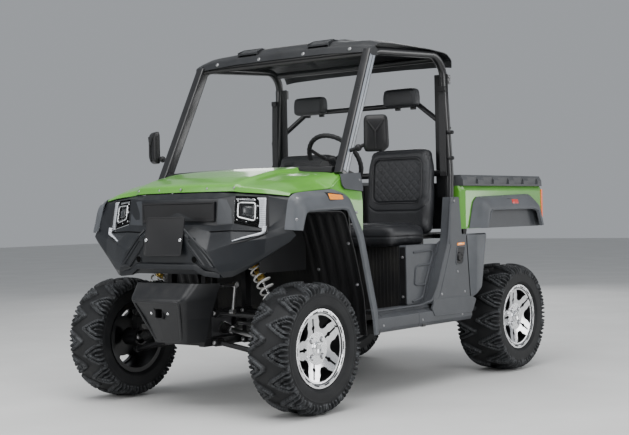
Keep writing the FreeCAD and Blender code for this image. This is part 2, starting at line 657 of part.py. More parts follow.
def chassis_frame():
    """Welded frame: main rails, side rails and outriggers, axle towers, bed rails, rack housing and hitch plate."""
    half = RAIL_SECTION / 2
    top = RAIL_Z + RAIL_SECTION
    side_top = FLOOR_Z - SEAT_GAP
    side_low = side_top - SIDE_RAIL_SECTION
    cross_top = side_top - 10
    rack_y = FRONT_AXLE_Y + STEER_ARM
    guard_y = FRONT_AXLE_Y - 200 + SEAT_GAP
    pieces = []
    for side in (-1, 1):
        pieces.append(across(side, RAIL_X - half, RAIL_X + half, FRONT_AXLE_Y - 190, REAR_AXLE_Y + 310, RAIL_Z, top))
        pieces.append(across(side, SIDE_RAIL_X - 20, SIDE_RAIL_X + 20, LEG_FOOT.y - 25, REAR_AXLE_Y - 480, side_low,
                             side_top))
        pieces.append(across(side, SIDE_RAIL_X, 642, LEG_FOOT.y - 15, LEG_FOOT.y + 15, side_low, LEG_FOOT.z))
        pieces.append(across(side, SIDE_RAIL_X, 685, B_BASE.y - 15, B_BASE.y + 15, side_low, B_BASE.z))
        pieces += axle_tower(side, FRONT_AXLE_Y)
        pieces += axle_tower(side, REAR_AXLE_Y)
        pieces.append(across(side, 110, 150, 425, BED_PIVOT_Y, TOWER_Z + 5, TOWER_Z + 40))
        pieces.append(across(side, 125, 150, BED_PIVOT_Y - 22, BED_PIVOT_Y + 22, TOWER_Z + 5, BED_PIVOT_Z + 20))
        pieces.append(across(side, 86, 110, rack_y - 12, rack_y + 12, RACK_Z, UPPER_ARM_Z))
        pieces.append(across(side, 105, 145, 425, 465, cross_top - 5, TOWER_Z + 10))
        pieces.append(across(side, 105, 135, guard_y, guard_y + 50, 485, 515))
        pieces.append(across(side, 105, 204, guard_y, guard_y + 10, 485, 515))
        sill_wall = SILL_X - PANEL - SEAT_GAP
        for y, reach in ((FRONT_AXLE_Y + 560, sill_wall), (0, sill_wall), (REAR_AXLE_Y - 550, SIDE_RAIL_X)):
            pieces.append(across(side, RAIL_X, reach, y - 15, y + 15, top - 15, cross_top))
    for y in (FRONT_AXLE_Y - 170, FRONT_AXLE_Y + 220, 0, 380, REAR_AXLE_Y + 290):
        pieces.append(box(-RAIL_X, RAIL_X, y - 20, y + 20, RAIL_Z + 5, top - 5))
    for y in (FRONT_AXLE_Y - 150, 445):
        pieces.append(box(-RAIL_X, RAIL_X, y - 18, y + 18, TOWER_Z + 5, TOWER_Z + 28))
    pieces.append(box(-40, 40, REAR_AXLE_Y + 290, BED_REAR_Y + 13, RAIL_Z + 20, RAIL_Z + 32))
    pieces.append(Part.makeCylinder(RACK_RADIUS * 2, 220, V(-110, rack_y, RACK_Z), X_AXIS))
    shape = fused(pieces)
    ball_hole = Part.makeCylinder(9.5, 40, V(0, BED_REAR_Y - 17, RAIL_Z), Z_AXIS)
    pin = Part.makeCylinder(BED_PIN_RADIUS + RUNNING_GAP, 400, V(-200, BED_PIVOT_Y, BED_PIVOT_Z), X_AXIS)
    rack = Part.makeCylinder(RACK_RADIUS + RUNNING_GAP, 400, V(-200, rack_y, RACK_Z), X_AXIS)
    return shape.cut([ball_hole, pin, rack])


def roll_cage():
    """Side hoops, cross tubes and the braced bar behind the heads, welded into one."""
    pieces = []
    for side in (-1, 1):
        def at(v):
            return V(side * v.x, v.y, v.z)
        corners = [LEG_FOOT, A_BASE, A_TOP, RAIL_REAR, B_MID, B_BASE]
        pieces.append(bent_bar([at(corner) for corner in corners], CAGE_TUBE, CAGE_BEND))
        pieces.append(rod(V(side * 650, 378, 1470), V(side * 420, 402, 1632), 16))
        pieces.append(across(side, 610, 622, RAIL_REAR.y, RAIL_REAR.y + 76, 1738, 1792))
    pieces.append(rod(V(-420, 402, 1632), V(420, 402, 1632), 16))
    pieces.append(rod(V(-612, A_TOP.y + 3, 1868), V(612, A_TOP.y + 3, 1868), 19))
    pieces.append(rod(V(-612, 330, 1880), V(612, 330, 1880), 19))
    pieces.append(rod(V(-655, 366, 1215), V(655, 366, 1215), 19))
    pieces.append(rod(V(-636, A_BASE.y + 3, 1150), V(636, A_BASE.y + 3, 1150), 19))
    return fused(pieces)


def floor_pan():
    """Floor, toe board and firewall: one sheet bent across the vehicle, with two pedals."""
    toe = LEG_FOOT.y
    outer = [(SEAT_FRONT_Y - 4, FLOOR_Z), (toe + 35, FLOOR_Z), (toe - 40, 690), (toe - 68, 1010)]
    inner = [(SEAT_FRONT_Y - 4, FLOOR_Z + PANEL), (toe + 35 + PANEL * 0.8, FLOOR_Z + PANEL),
             (toe - 40 + PANEL, 690), (toe - 68 + PANEL, 1010)]
    pieces = [side_plate(outer + inner[::-1], -FLOOR_X, FLOOR_X)]
    for x, half in ((300, 34), (400, 26)):
        pieces.append(rod(V(x, toe - 50, 720), V(x, toe + 28, 562), 7))
        pad = [(toe + 10, 600), (toe + 18, 600), (toe + 40, 540), (toe + 32, 536)]
        pieces.append(side_plate(pad, x - half, x + half))
    return fused(pieces)


def seat_base():
    """Box under the seats, open below."""
    outer = box(-SEAT_BASE_X, SEAT_BASE_X, SEAT_FRONT_Y, SEAT_REAR_Y - 10, FLOOR_Z, SEAT_BASE_Z)
    inner = box(-SEAT_BASE_X + PANEL, SEAT_BASE_X - PANEL, SEAT_FRONT_Y + PANEL, SEAT_REAR_Y - 10 - PANEL,
                FLOOR_Z - 10, SEAT_BASE_Z - PANEL)
    return outer.cut(inner)


def seat_sides():
    """Grey panels beside the seat box, each with a moulded step."""
    face = [(SEAT_FRONT_Y, SILL_TOP_Z + 2), (60, SILL_TOP_Z + 2), (226, 802), (226, 806), (SEAT_FRONT_Y, 806)]
    plate = side_plate(face, SEAT_BASE_X + SEAT_GAP, SEAT_SIDE_X)
    recess = [(SEAT_FRONT_Y + 34, 520), (66, 520), (178, 756), (SEAT_FRONT_Y + 34, 756)]
    emboss = [(SEAT_FRONT_Y + 70, 590), (90, 590), (140, 700), (SEAT_FRONT_Y + 70, 700)]
    plate = plate.cut(side_plate(recess, SEAT_SIDE_X - 5, SEAT_SIDE_X + 10))
    plate = fused([plate, side_plate(emboss, SEAT_SIDE_X - 7, SEAT_SIDE_X)])
    return pair(plate)


def seat_shapes():
    """Plain closed solids of the seats: cushion and back for the left side."""
    cushion = box(92, 604, -165, 222, SEAT_BASE_Z + SEAT_GAP, 930)
    cushion = cushion.makeFillet(24, cushion.Edges)
    lean = [(227, 835), (316, 835), (361, 1392), (275, 1392)]
    back = side_plate(lean, 100, 610)
    back = back.makeFillet(22, back.Edges)
    return cushion, back


def headrest():
    """Plain closed solid of the left headrest."""
    pad = box(215, 475, 296, 384, 1603, 1738)
    return pad.makeFillet(20, pad.Edges)


def sills():
    """Moulded sills with a foot step."""
    outer = [V(602, 0, SILL_BOTTOM_Z), V(690, 0, SILL_BOTTOM_Z), V(SILL_X, 0, 372), V(SILL_X, 0, 432),
             V(668, 0, 446), V(660, 0, SILL_TOP_Z), V(602, 0, SILL_TOP_Z)]
    inner = [V(596, 0, SILL_BOTTOM_Z + PANEL), V(688, 0, SILL_BOTTOM_Z + PANEL), V(SILL_X - PANEL, 0, 374),
             V(SILL_X - PANEL, 0, 429), V(665, 0, 443), V(657, 0, SILL_TOP_Z - PANEL), V(596, 0, SILL_TOP_Z - PANEL)]
    shift = V(0, FRONT_AXLE_Y + 548, 0)
    length = V(0, REAR_AXLE_Y - 488, 0) - shift
    shape = prism([p + shift for p in outer], length).cut(prism([p + shift for p in inner], length))
    return pair(shape)


def rear_quarters():
    """Lower door-pillar trims with a round cap, and the side panels behind them."""
    tail = REAR_AXLE_Y
    face = [(86, SILL_TOP_Z + SEAT_GAP), (254, 820), (292, 1072), (388, 1072), (412, 856), (tail - 310, 856),
            (tail - 389, 520), (tail - 500, SILL_TOP_Z + SEAT_GAP)]
    plate = side_plate(face, 694, SILL_X)
    edge = [(86, SILL_TOP_Z + SEAT_GAP), (254, 820), (292, 1072), (297, 1072), (259, 820), (91, SILL_TOP_Z + SEAT_GAP)]
    lip = side_plate(edge, 650, 694)
    x = SILL_X
    scoop = [V(x, tail - 530, 850), V(x, tail - 310, 856), V(x, tail - 389, 520), V(x, tail - 500, 476)]
    raised = [V(718, tail - 440, 850), V(718, tail - 332, 850), V(718, tail - 400, 540), V(718, tail - 460, 500)]
    faces = facets(*raised) + facets(*reversed(scoop))
    for k in range(4):
        n = (k + 1) % 4
        faces += facets(scoop[k], scoop[n], raised[n], raised[k])
    cap = Part.makeCylinder(24, 8, V(x - 1, 372, 727), X_AXIS)
    return pair(fused([plate, lip, closed(faces), cap]))


def hood():
    """Bonnet with a raised middle, from the rear edge to the turned-down front lip."""
    # centre y, z | edge of the raised middle x, y, z | foot of its side x, y, z | shoulder x, y, z | edge x, y, z
    stations = [
        (-668, 1244, 372, -668, 1240, 388, -668, 1216, 600, -672, 1204, 662, -676, 1188),
        (-880, 1226, 362, -880, 1220, 386, -882, 1198, 570, -876, 1180, 668, -800, 1118),
        (-1060, 1190, 350, -1050, 1184, 380, -1048, 1166, 556, -1022, 1150, 664, -1000, 1104),
        (-1188, 1152, 338, -1158, 1148, 372, -1146, 1136, 540, -1122, 1118, 648, -1092, 1094),
        (-1200, 1116, 338, -1168, 1114, 372, -1156, 1108, 538, -1138, 1096, 648, -1106, 1082),
    ]
    rows = []
    for y0, z0, x1, y1, z1, x2, y2, z2, x3, y3, z3, x4, y4, z4 in stations:
        rows.append([V(0, y0, z0), V(x1, y1, z1), V(x2, y2, z2), V(x3, y3, z3), V(x4, y4, z4)])
    return panel(full_width(rows))


def fascia():
    """Front moulding: recessed grille panel, light shelf and V-shaped bumper bar, with openings for the lamps."""
    # each row: centre | plate edge | bar ridge | inner lamp edge | outer lamp edge | edge at the wheel arch
    rows = [
        [V(0, -1192, 1108), V(134, -1188, 1108), V(262, -1180, 1106), V(356, -1164, 1100), V(536, -1134, 1086),
         V(648, -1104, 1074)],
        [V(0, -1216, 1080), V(134, -1214, 1080), V(268, -1206, 1078), V(374, -1190, 1090), V(542, -1142, 1082),
         V(654, -1112, 1060)],
        [V(0, -1222, 948), V(134, -1220, 948), V(266, -1212, 944), V(374, -1208, 952), V(552, -1166, 920),
         V(660, -1140, 1000)],
        [V(0, -1244, 932), V(120, -1242, 932), V(246, -1234, 912), V(366, -1224, 916), V(556, -1176, 908),
         V(664, -1156, 935)],
        [V(0, -1316, 904), V(138, -1316, 902), V(284, -1314, 820), V(408, -1266, 856), V(566, -1192, 876),
         V(700, -1146, 912)],
        [V(0, -1312, 800), V(200, -1310, 796), V(330, -1310, 748), V(430, -1262, 762), V(560, -1200, 800),
         V(716, -1142, 892)],
        [V(0, -1308, 752), V(206, -1306, 748), V(352, -1302, 716), V(420, -1268, 722), V(540, -1206, 776),
         V(690, -1150, 868)],
        [V(0, -1288, 704), V(220, -1286, 704), V(372, -1282, 690), V(404, -1262, 694), V(500, -1214, 746),
         V(640, -1166, 838)],
    ]
    columns = len(rows[0])
    lamp_row = 1
    lamp_column = 3
    skip = ((lamp_row, columns - 1 + lamp_column), (lamp_row, columns - 2 - lamp_column))
    shell = panel(full_width(rows), PANEL, skip)
    strut = [V(70, -1322, 884), V(112, -1322, 874), V(296, -1322, 736), V(256, -1322, 736)]
    beam = prism(strut, V(0, 26, 0))
    plate = side_plate([(-1344, 796), (-1308, 996), (-1304, 996), (-1340, 796)], -134, 134)
    post = box(-100, 100, -1330, -1300, 838, 872)
    shelf_post = box(-60, 60, -1318, -1236, 912, 930)
    return fused([shell, beam, mirrored(beam), plate, post, shelf_post]).cut(
        [Part.makeCylinder(18, 80, V(side * 198, -1340, 777), Y_AXIS) for side in (-1, 1)])


def lamps():
    """Headlamp units in the fascia's openings: body, raised light strip down the outer side and along the foot, and
    the square ring round the lens."""
    front = [V(376, -1192, 1087), V(377, -1209, 956), V(549, -1168, 924), V(540, -1145, 1079)]
    middle = sum(front, V(0, 0, 0)) * 0.25
    front = [middle + (p - middle) * 0.998 for p in front]
    back = [p + V(-14, 62, 0) for p in front]
    faces = facets(*front) + facets(*reversed(back))
    for k in range(4):
        n = (k + 1) % 4
        faces += facets(front[n], front[k], back[k], back[n])
    inner_top, inner_low, outer_low, outer_top = front

    def on_face(across, down):
        """Point on the front face, from shares of its width and height."""
        return (inner_top * (1 - across) + outer_top * across) * (1 - down) + \
            (inner_low * (1 - across) + outer_low * across) * down

    ahead = V(6, -14, 0)

    def raised(places, height):
        """Block on the front face from four of its points."""
        foot = [on_face(*place) for place in places]
        top = [p + ahead * height for p in foot]
        foot = [p - ahead * 0.3 for p in foot]
        sides = facets(*top) + facets(*reversed(foot))
        for k in range(4):
            n = (k + 1) % 4
            sides += facets(top[n], top[k], foot[k], foot[n])
        return closed(sides)

    strip = raised([(0.84, 0.02), (0.84, 0.86), (0.98, 0.98), (0.97, 0.02)], 1.0)
    ring = raised([(0.18, 0.26), (0.18, 0.80), (0.74, 0.80), (0.74, 0.26)], 0.6)
    lens = raised([(0.25, 0.34), (0.25, 0.72), (0.67, 0.72), (0.67, 0.34)], 2.0)
    return pair(fused([closed(faces), strip, ring.cut(lens)]))


def markers(x0, x1, y0, y1, z0, z1, flares):
    """Side marker lamps on the outer face of a pair of flares."""
    left = box(x0, x1, y0, y1, z0, z1).cut(flares)
    outer = max(left.Solids, key=lambda solid: solid.CenterOfMass.x)
    return pair(outer)


def nose_guard():
    """Guard below the fascia with a square receiver opening."""
    # height | centre y | front corner x, y | side edge x, y
    stations = [
        (655, -1330, 200, -1326, 262, -1196),
        (575, -1400, 183, -1394, 240, -1210),
        (500, -1358, 150, -1354, 196, -1200),
        (352, -1302, 104, -1298, 150, -1192),
    ]
    rows = [[V(0, y0, z), V(x1, y1, z), V(x2, y2, z)] for z, y0, x1, y1, x2, y2 in stations]
    shell = panel(full_width(rows), PANEL)
    opening = box(-28, 28, -1420, -1330, 478, 534)
    return shell.cut(opening)


def front_flares():
    """Wheel-arch mouldings over the front wheels."""
    # each row: edge on the body | crease | outer lip | turned-in lip
    rows = [
        [V(664, -1166, 920), V(716, -1152, 915), V(746, -1130, 913), V(736, -1124, 913)],
        [V(656, -1124, 1070), V(704, -1126, 1052), V(746, -1097, 1004), V(736, -1090, 1000)],
        [V(666, -1086, 1096), V(712, -1080, 1076), V(746, -1062, 1014), V(736, -1058, 1006)],
        [V(672, -790, 1114), V(718, -790, 1092), V(746, -790, 1022), V(736, -792, 1014)],
        [V(690, -690, 1084), V(726, -712, 1068), V(746, -742, 1014), V(736, -748, 1008)],
        [V(700, -575, 896), V(732, -618, 880), V(746, -660, 862), V(736, -666, 860)],
        [V(700, -456, 474), V(732, -500, 452), V(746, -544, 440), V(736, -550, 440)],
        [V(700, -454, 354), V(728, -490, 354), V(742, -528, 354), V(732, -534, 354)],
    ]
    rows = [row[::-1] for row in rows]
    return pair(panel(rows, PANEL))


def liners():
    """Inner wheel-arch liners."""
    # (y, z) of the liner's line from the front over the top to the bottom behind the wheel
    line = [(-1076, 1004), (-1040, 1010), (-762, 1010), (-676, 800), (-604, 560), (-586, 356)]
    rows = []
    for y, z in line:
        rows.append([V(420, y, z), V(729, y, z)])
    arch = panel([row[::-1] for row in rows], PANEL)
    inner = side_plate([(-1076, 1000), (-1040, 1006), (-764, 1006), (-700, 850), (-700, 700), (-1076, 700)], 416, 421)
    return pair(fused([arch, inner]))


def cowl_sides():
    """Body-coloured panels ahead of the door openings."""
    rows = [
        [V(664, -704, 1192), V(672, -560, 1200)],
        [V(676, -770, 1118), V(690, -568, 1118)],
        [V(694, -686, 1080), V(700, -572, 1040)],
        [V(700, -620, 950), V(700, -576, 900)],
    ]
    return pair(panel(rows, PANEL))


def dashboard():
    """Dash moulding under the windscreen with the instrument pod, the shift lever and the column bearing."""
    profile = [(-645, 1020), (-645, 1226), (-606, 1236), (-500, 1206), (-486, 1120), (-540, 1000)]
    hollow = [(-641, 1015), (-641, 1218), (-606, 1228), (-508, 1200), (-494, 1122), (-546, 1010)]
    shape = to_nose(side_plate(profile, -600, 600).cut(side_plate(hollow, -592, 592)))
    pod = to_nose(side_plate([(-592, 1228), (-500, 1200), (-494, 1250), (-506, 1272), (-560, 1278)], 246, 434))
    lever = V(96, -492 + NOSE_SHIFT, 1150)
    knob = lever + V(8, 84, 62)
    axis = column_axis()
    bearing = Part.makeCylinder(34, 90, STEERING_CENTRE - axis * 232, axis)
    bore = Part.makeCylinder(COLUMN_RADIUS + RUNNING_GAP, 400, STEERING_CENTRE - axis * 400, axis)
    return fused([shape, pod, rod(lever - V(0, 10, 0), knob, 8), Part.makeSphere(24, knob), bearing]).cut(bore)


def windscreen():
    """Clear sheet between the front pillars, a little ahead of their middle."""
    along = V(0, A_TOP.y - A_BASE.y, A_TOP.z - A_BASE.z).normalize()
    ahead = V(0, -along.z, along.y)
    outline = []
    for z in (1230, 1846):
        share = (z - A_BASE.z) / (A_TOP.z - A_BASE.z)
        middle = A_BASE + (A_TOP - A_BASE) * share + ahead * 12
        outline.append(V(middle.x - 3, middle.y, middle.z))
    outline = [V(-p.x, p.y, p.z) for p in outline] + outline[::-1]
    return prism(outline, ahead * 4)


def roof():
    """Moulded roof: visor face with two air scoops in front, raised middle between long creases, turned-down rear."""
    # y | z at the centre, inside and outside the crease, at the shoulder and at the side edge | x of the side edge
    stations = [
        (452, 1850, 1848, 1846, 1842, 1834, 628),
        (440, 1900, 1898, 1896, 1890, 1876, 636),
        (368, 1952, 1950, 1936, 1930, 1908, 646),
        (180, 1972, 1970, 1948, 1940, 1916, 648),
        (-180, 1972, 1970, 1948, 1940, 1914, 648),
        (A_TOP.y + 41, 1952, 1950, 1938, 1930, 1908, 646),
        (A_TOP.y - 5, 1914, 1912, 1908, 1902, 1886, 642),
        (A_TOP.y - 27, 1872, 1870, 1868, 1858, 1850, 636),
    ]
    rows = []
    for y, z0, z1, z2, z3, z4, x4 in stations:
        rows.append([V(0, y, z0), V(330, y, z1), V(372, y, z2), V(560, y, z3), V(x4, y, z4)])
    shell = panel(full_width(rows), PANEL)
    scoops = []
    for side in (-1, 1):
        low, high = sorted((side * 190, side * 330))
        front = A_TOP.y - 5
        wedge = [(front - 20, 1944), (front - 20, 1914), (front + 3, 1914), (front + 60, 1953), (front + 60, 1990)]
        scoops.append(side_plate(wedge, low, high))
    tray = [(A_TOP.y - 3, 1910), (A_TOP.y + 60, 1936), (A_TOP.y + 60, 1956), (A_TOP.y - 3, 1916)]
    trays = [side_plate(tray, low, high) for low, high in ((-334, -186), (186, 334))]
    return fused([shell] + trays).cut(scoops)


def mirrors():
    """Door mirrors with a ridged back on ball arms clamped to the front pillars."""
    middle = V(806, -588, 1402)
    # half width, depth and height of the sections from the glass to the ridge
    outline = [V(-62, 18, 95), V(62, 18, 95), V(68, 18, -70), V(40, 18, -95), V(-54, 18, -95), V(-64, 18, -76)]
    back = [V(-46, -20, 74), V(44, -20, 74), V(50, -20, -56), V(30, -20, -74), V(-40, -20, -74), V(-48, -20, -58)]
    shell = Part.makeLoft([Part.makePolygon(outline + outline[:1]), Part.makePolygon(back + back[:1])], True, True)
    ridge = prism([V(-34, -16, 56), V(36, -16, 56), V(2, -16, -60)], V(0, -10, 0))
    housing = fused([shell, ridge])
    housing.rotate(CENTRE, Z_AXIS, 28)
    housing.translate(middle)
    ball = Part.makeSphere(17, V(712, -612, 1330))
    arm = rod(V(660, -618, 1316), V(712, -612, 1330), 9)
    neck = rod(V(712, -612, 1330), V(770, -604, 1352), 10)
    return pair(fused([housing, ball, arm, neck]))


def seat_belts():
    """Straps hanging from the guides on the door pillars."""
    guide = box(618, 652, 326, 348, 1690, 1716)
    strap = box(613, 657, 330, 332.5, 1190, 1700)
    tongue = box(620, 650, 326, 342, 1205, 1240)
    return pair(fused([guide, strap, tongue]))


def bed_box():
    """Cargo tub with its hinge lugs."""
    front = BED_FRONT_Y + 12
    rear = BED_REAR_Y - GATE_THICK - 8
    outer = box(-BED_WALL_X, BED_WALL_X, front, rear, BED_FLOOR_Z, BED_SKIN_TOP_Z + 20)
    inner = box(-BED_WALL_X + PANEL, BED_WALL_X - PANEL, front + PANEL, rear + 10, BED_FLOOR_Z + PANEL,
                BED_SKIN_TOP_Z + 40)
    pieces = [outer.cut(inner)]
    for side in (-1, 1):
        low, high = sorted((side * (150 + MOVING_GAP), side * 186))
        lug = [(BED_PIVOT_Y - 26, BED_FLOOR_Z + 1), (BED_PIVOT_Y + 30, BED_FLOOR_Z + 1), (BED_PIVOT_Y + 16, 832),
               (BED_PIVOT_Y - 16, 832)]
        pieces.append(side_plate(lug, low, high))
        pin_low, pin_high = sorted((side * 118, side * 186))
        pieces.append(Part.makeCylinder(BED_PIN_RADIUS, pin_high - pin_low, V(pin_low, BED_PIVOT_Y, BED_PIVOT_Z),
                                        X_AXIS))
    return fused(pieces)


def bed_sides():
    """Body-coloured outer sides of the bed, with the corner posts beside the tailgate."""
    front = BED_FRONT_Y
    x = BED_SIDE_X
    skin = box(x - PANEL, x, front, BED_REAR_Y, BED_FLOOR_Z, BED_SKIN_TOP_Z)
    nose = box(BED_WALL_X + SEAT_GAP, x - PANEL, front, front + PANEL, BED_FLOOR_Z, BED_SKIN_TOP_Z)
    tail = box(GATE_HALF + MOVING_GAP, x - PANEL, BED_REAR_Y - PANEL, BED_REAR_Y, BED_FLOOR_Z, BED_SKIN_TOP_Z)
    lip = box(BED_WALL_X + SEAT_GAP, x - PANEL, front, BED_REAR_Y - 30, BED_FLOOR_Z, BED_FLOOR_Z + PANEL)
    ear_x = GATE_HALF + MOVING_GAP
    pin_y = BED_REAR_Y - GATE_THICK / 2
    ear = box(ear_x, ear_x + 8, pin_y - 15, BED_REAR_Y, GATE_PIVOT_Z - 16, GATE_PIVOT_Z + 16)
    hole = Part.makeCylinder(GATE_PIN_RADIUS + RUNNING_GAP, 40, V(ear_x - 10, pin_y, GATE_PIVOT_Z), X_AXIS)
    return pair(fused([skin, nose, tail, lip, ear]).cut(hole))


def bed_rails():
    """Rail caps along the bed's sides with a row of pockets."""
    z0 = BED_SKIN_TOP_Z + SEAT_GAP
    profile = [V(BED_WALL_X + SEAT_GAP, 0, z0), V(BED_SIDE_X + 4, 0, z0), V(BED_SIDE_X + 2, 0, z0 + 34),
               V(BED_SIDE_X - 14, 0, BED_RAIL_Z), V(BED_WALL_X - 6, 0, BED_RAIL_Z), V(BED_WALL_X - 6, 0, z0 + 26),
               V(BED_WALL_X + SEAT_GAP, 0, z0 + 26)]
    shape = prism([p + V(0, BED_FRONT_Y + 6, 0) for p in profile], V(0, BED_REAR_Y - BED_FRONT_Y - 10, 0))
    pockets = []
    pitch = (BED_REAR_Y - BED_FRONT_Y - 50) / 5
    for n in range(5):
        y = BED_FRONT_Y + 60 + n * pitch
        pockets.append(box(BED_SIDE_X - 8, BED_SIDE_X + 20, y, y + 120, z0 + 12, BED_RAIL_Z - 8))
    return pair(shape.cut(pockets))


def rear_flares():
    """Wheel-arch mouldings on the bed's sides."""
    x = BED_SIDE_X + SEAT_GAP + PANEL
    crease = BED_SIDE_X + 32
    lip = BED_SIDE_X + 54
    rows = [
        [V(x, 474, 888), V(crease, 560, 888), V(lip, 604, 888), V(lip - 14, 610, 888)],
        [V(x, 520, 1040), V(crease, 560, 1030), V(lip, 640, 986), V(lip - 14, 646, 982)],
        [V(x, 560, 1070), V(crease + 2, 600, 1056), V(lip, 664, 998), V(lip - 14, 668, 994)],
        [V(x, 1200, 1086), V(crease + 2, 1190, 1066), V(lip, 1186, 1000), V(lip - 14, 1184, 996)],
        [V(x, 1330, 1016), V(crease, 1300, 1010), V(lip, 1246, 988), V(lip - 14, 1240, 984)],
        [V(x, 1384, 892), V(crease, 1350, 888), V(lip, 1290, 888), V(lip - 14, 1284, 888)],
    ]
    rows = [row[::-1] for row in rows]
    return pair(panel(rows, PANEL))


def tail_lamps():
    """Upright lamp strips on the bed's rear corners."""
    strip = box(BED_SIDE_X - 38, BED_SIDE_X - 2, BED_REAR_Y + SEAT_GAP, BED_REAR_Y + 8, 940, 1118)
    return pair(strip)


def tailgate():
    """Rear gate with three pressed fields and a latch handle, hinged along its lower edge."""
    y1 = BED_REAR_Y
    y0 = y1 - GATE_THICK
    outer = box(-GATE_HALF, GATE_HALF, y0, y1, GATE_PIVOT_Z - 8, GATE_TOP_Z)
    pockets = []
    span = (2 * GATE_HALF - 60) / 3
    for n in range(3):
        x0 = -GATE_HALF + 60 + n * span
        pockets.append(box(x0, x0 + span - 60, y1 - 8, y1 + 5, GATE_PIVOT_Z + 50, GATE_TOP_Z - 50))
    handle = box(-70, 70, y1 - 10, y1 + 6, GATE_TOP_Z - 110, GATE_TOP_Z - 70)
    grip = box(-60, 60, y1 - 6, y1 + 20, GATE_TOP_Z - 112, GATE_TOP_Z - 84)
    reach = GATE_HALF + MOVING_GAP + 8
    pin = Part.makeCylinder(GATE_PIN_RADIUS, 2 * reach, V(-reach, y1 - GATE_THICK / 2, GATE_PIVOT_Z), X_AXIS)
    return fused([outer.cut(pockets), handle.cut(grip), pin])


def build():
    """All nodes by name. Panels are trimmed where the frame and the cage pass through them."""
    frame = chassis_frame()
    cage = roll_cage().cut(frame)
    flares = to_nose(front_flares())
    face = to_nose(fascia()).cut(flares)
    arches = to_tail(rear_flares())
    y = FRONT_AXLE_Y
    front_markers = markers(700, 737, y + 114, y + 222, 1062, 1094, flares)
    y = REAR_AXLE_Y
    rear_markers = markers(730, 770, y - 98, y + 4, 1026, 1058, arches)
    top = roof().cut(cage)
    cushion, back = seat_shapes()
    nodes = {
        "chassis_frame": frame,
        "roll_cage": cage,
        "floor_pan": Part.makeCompound([floor_pan().cut([cage, frame]), seat_base()]),
        "seat_side_panels": seat_sides(),
        "sills": sills().cut([cage, frame]),
        "rear_quarters": rear_quarters(),
        "hood": to_nose(hood()).cut(cage),
        "front_fascia": face,
        "headlamps": Part.makeCompound([to_nose(lamps()).cut(face), front_markers]),
        "nose_guard": to_nose(nose_guard()).cut(frame),
        "front_flares": flares,
        "arch_liners": to_nose(liners()).cut(cage),
        "cowl_sides": to_nose(cowl_sides()).cut([cage, flares]),
        "dashboard": dashboard().cut(cage),
        "windscreen": windscreen().cut([cage, top]),
        "roof": top,
        "mirrors": to_nose(mirrors()).cut(cage),
        "seat_belts": seat_belts().cut(cage),
        "seat_cushions": pair(cushion),
        "seat_backs": pair(back),
        "headrests": pair(headrest()),
        "front_arms": front_arms(),
        "rear_arms": rear_arms(),
        "half_shafts": half_shafts(),
        "engine": Part.makeCompound([engine()] + drive_units()),
        "shocks": shocks(),
        "springs": springs(),
        "steering_rack": steering_rack(),
        "steering_wheel": steering_wheel(),
        "knuckle_left": knuckle(),
        "knuckle_right": mirrored(knuckle()),
        "bed_box": bed_box(),
        "bed_sides": bed_sides(),
        "bed_rails": bed_rails(),
        "rear_flares": arches,
        "tail_lamps": Part.makeCompound([tail_lamps(), rear_markers]),
        "tailgate": tailgate(),
    }
    nodes.update(wheels())
    return nodes


for node, shape in build().items():
    shape.exportStep(f"parts/{node}.step")
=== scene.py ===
import math

import bmesh
import bpy
import numpy as np
from mathutils import Matrix, Vector


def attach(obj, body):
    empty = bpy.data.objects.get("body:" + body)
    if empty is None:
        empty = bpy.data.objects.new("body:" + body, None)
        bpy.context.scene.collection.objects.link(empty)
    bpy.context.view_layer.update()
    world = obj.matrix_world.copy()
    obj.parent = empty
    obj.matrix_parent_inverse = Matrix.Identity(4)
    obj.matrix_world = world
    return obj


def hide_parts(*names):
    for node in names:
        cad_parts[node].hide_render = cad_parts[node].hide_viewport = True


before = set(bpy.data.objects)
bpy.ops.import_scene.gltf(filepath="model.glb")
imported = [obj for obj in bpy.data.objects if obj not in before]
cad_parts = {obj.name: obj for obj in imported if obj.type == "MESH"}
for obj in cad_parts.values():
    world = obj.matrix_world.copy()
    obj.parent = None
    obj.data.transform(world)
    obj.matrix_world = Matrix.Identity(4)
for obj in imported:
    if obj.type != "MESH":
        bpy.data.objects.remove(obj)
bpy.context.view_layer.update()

# Camera: stands ahead of the driver's front corner at chest height, with a long lens.
EYE = Vector((4.4478, -5.7556, 1.0021))
YAW, PITCH, ROLL = 0.665, 0.0045, -0.0209
LENS_PIXELS, PICTURE_WIDTH, SENSOR = 1228.03, 629.0, 36.0
ahead = Vector((-math.sin(YAW) * math.cos(PITCH), math.cos(YAW) * math.cos(PITCH), -math.sin(PITCH)))
level = Vector((math.cos(YAW), math.sin(YAW), 0))
upward = level.cross(ahead)
right = math.cos(ROLL) * level + math.sin(ROLL) * upward
top = -math.sin(ROLL) * level + math.cos(ROLL) * upward
camera_data = bpy.data.cameras.new("camera")
camera_data.sensor_width = SENSOR
camera_data.lens = LENS_PIXELS / PICTURE_WIDTH * SENSOR
camera_data.clip_end = 100
camera = bpy.data.objects.new("camera", camera_data)
bpy.context.scene.collection.objects.link(camera)
camera.matrix_world = Matrix(((right.x, top.x, -ahead.x, EYE.x), (right.y, top.y, -ahead.y, EYE.y),
                              (right.z, top.z, -ahead.z, EYE.z), (0, 0, 0, 1)))
bpy.context.scene.camera = camera


# Hood
# One glossy green moulding with a raised middle, a step on each side of it and a lip turned down over the
# fascia. It is injection moulded about 4 mm thick and bolted down along the lip.

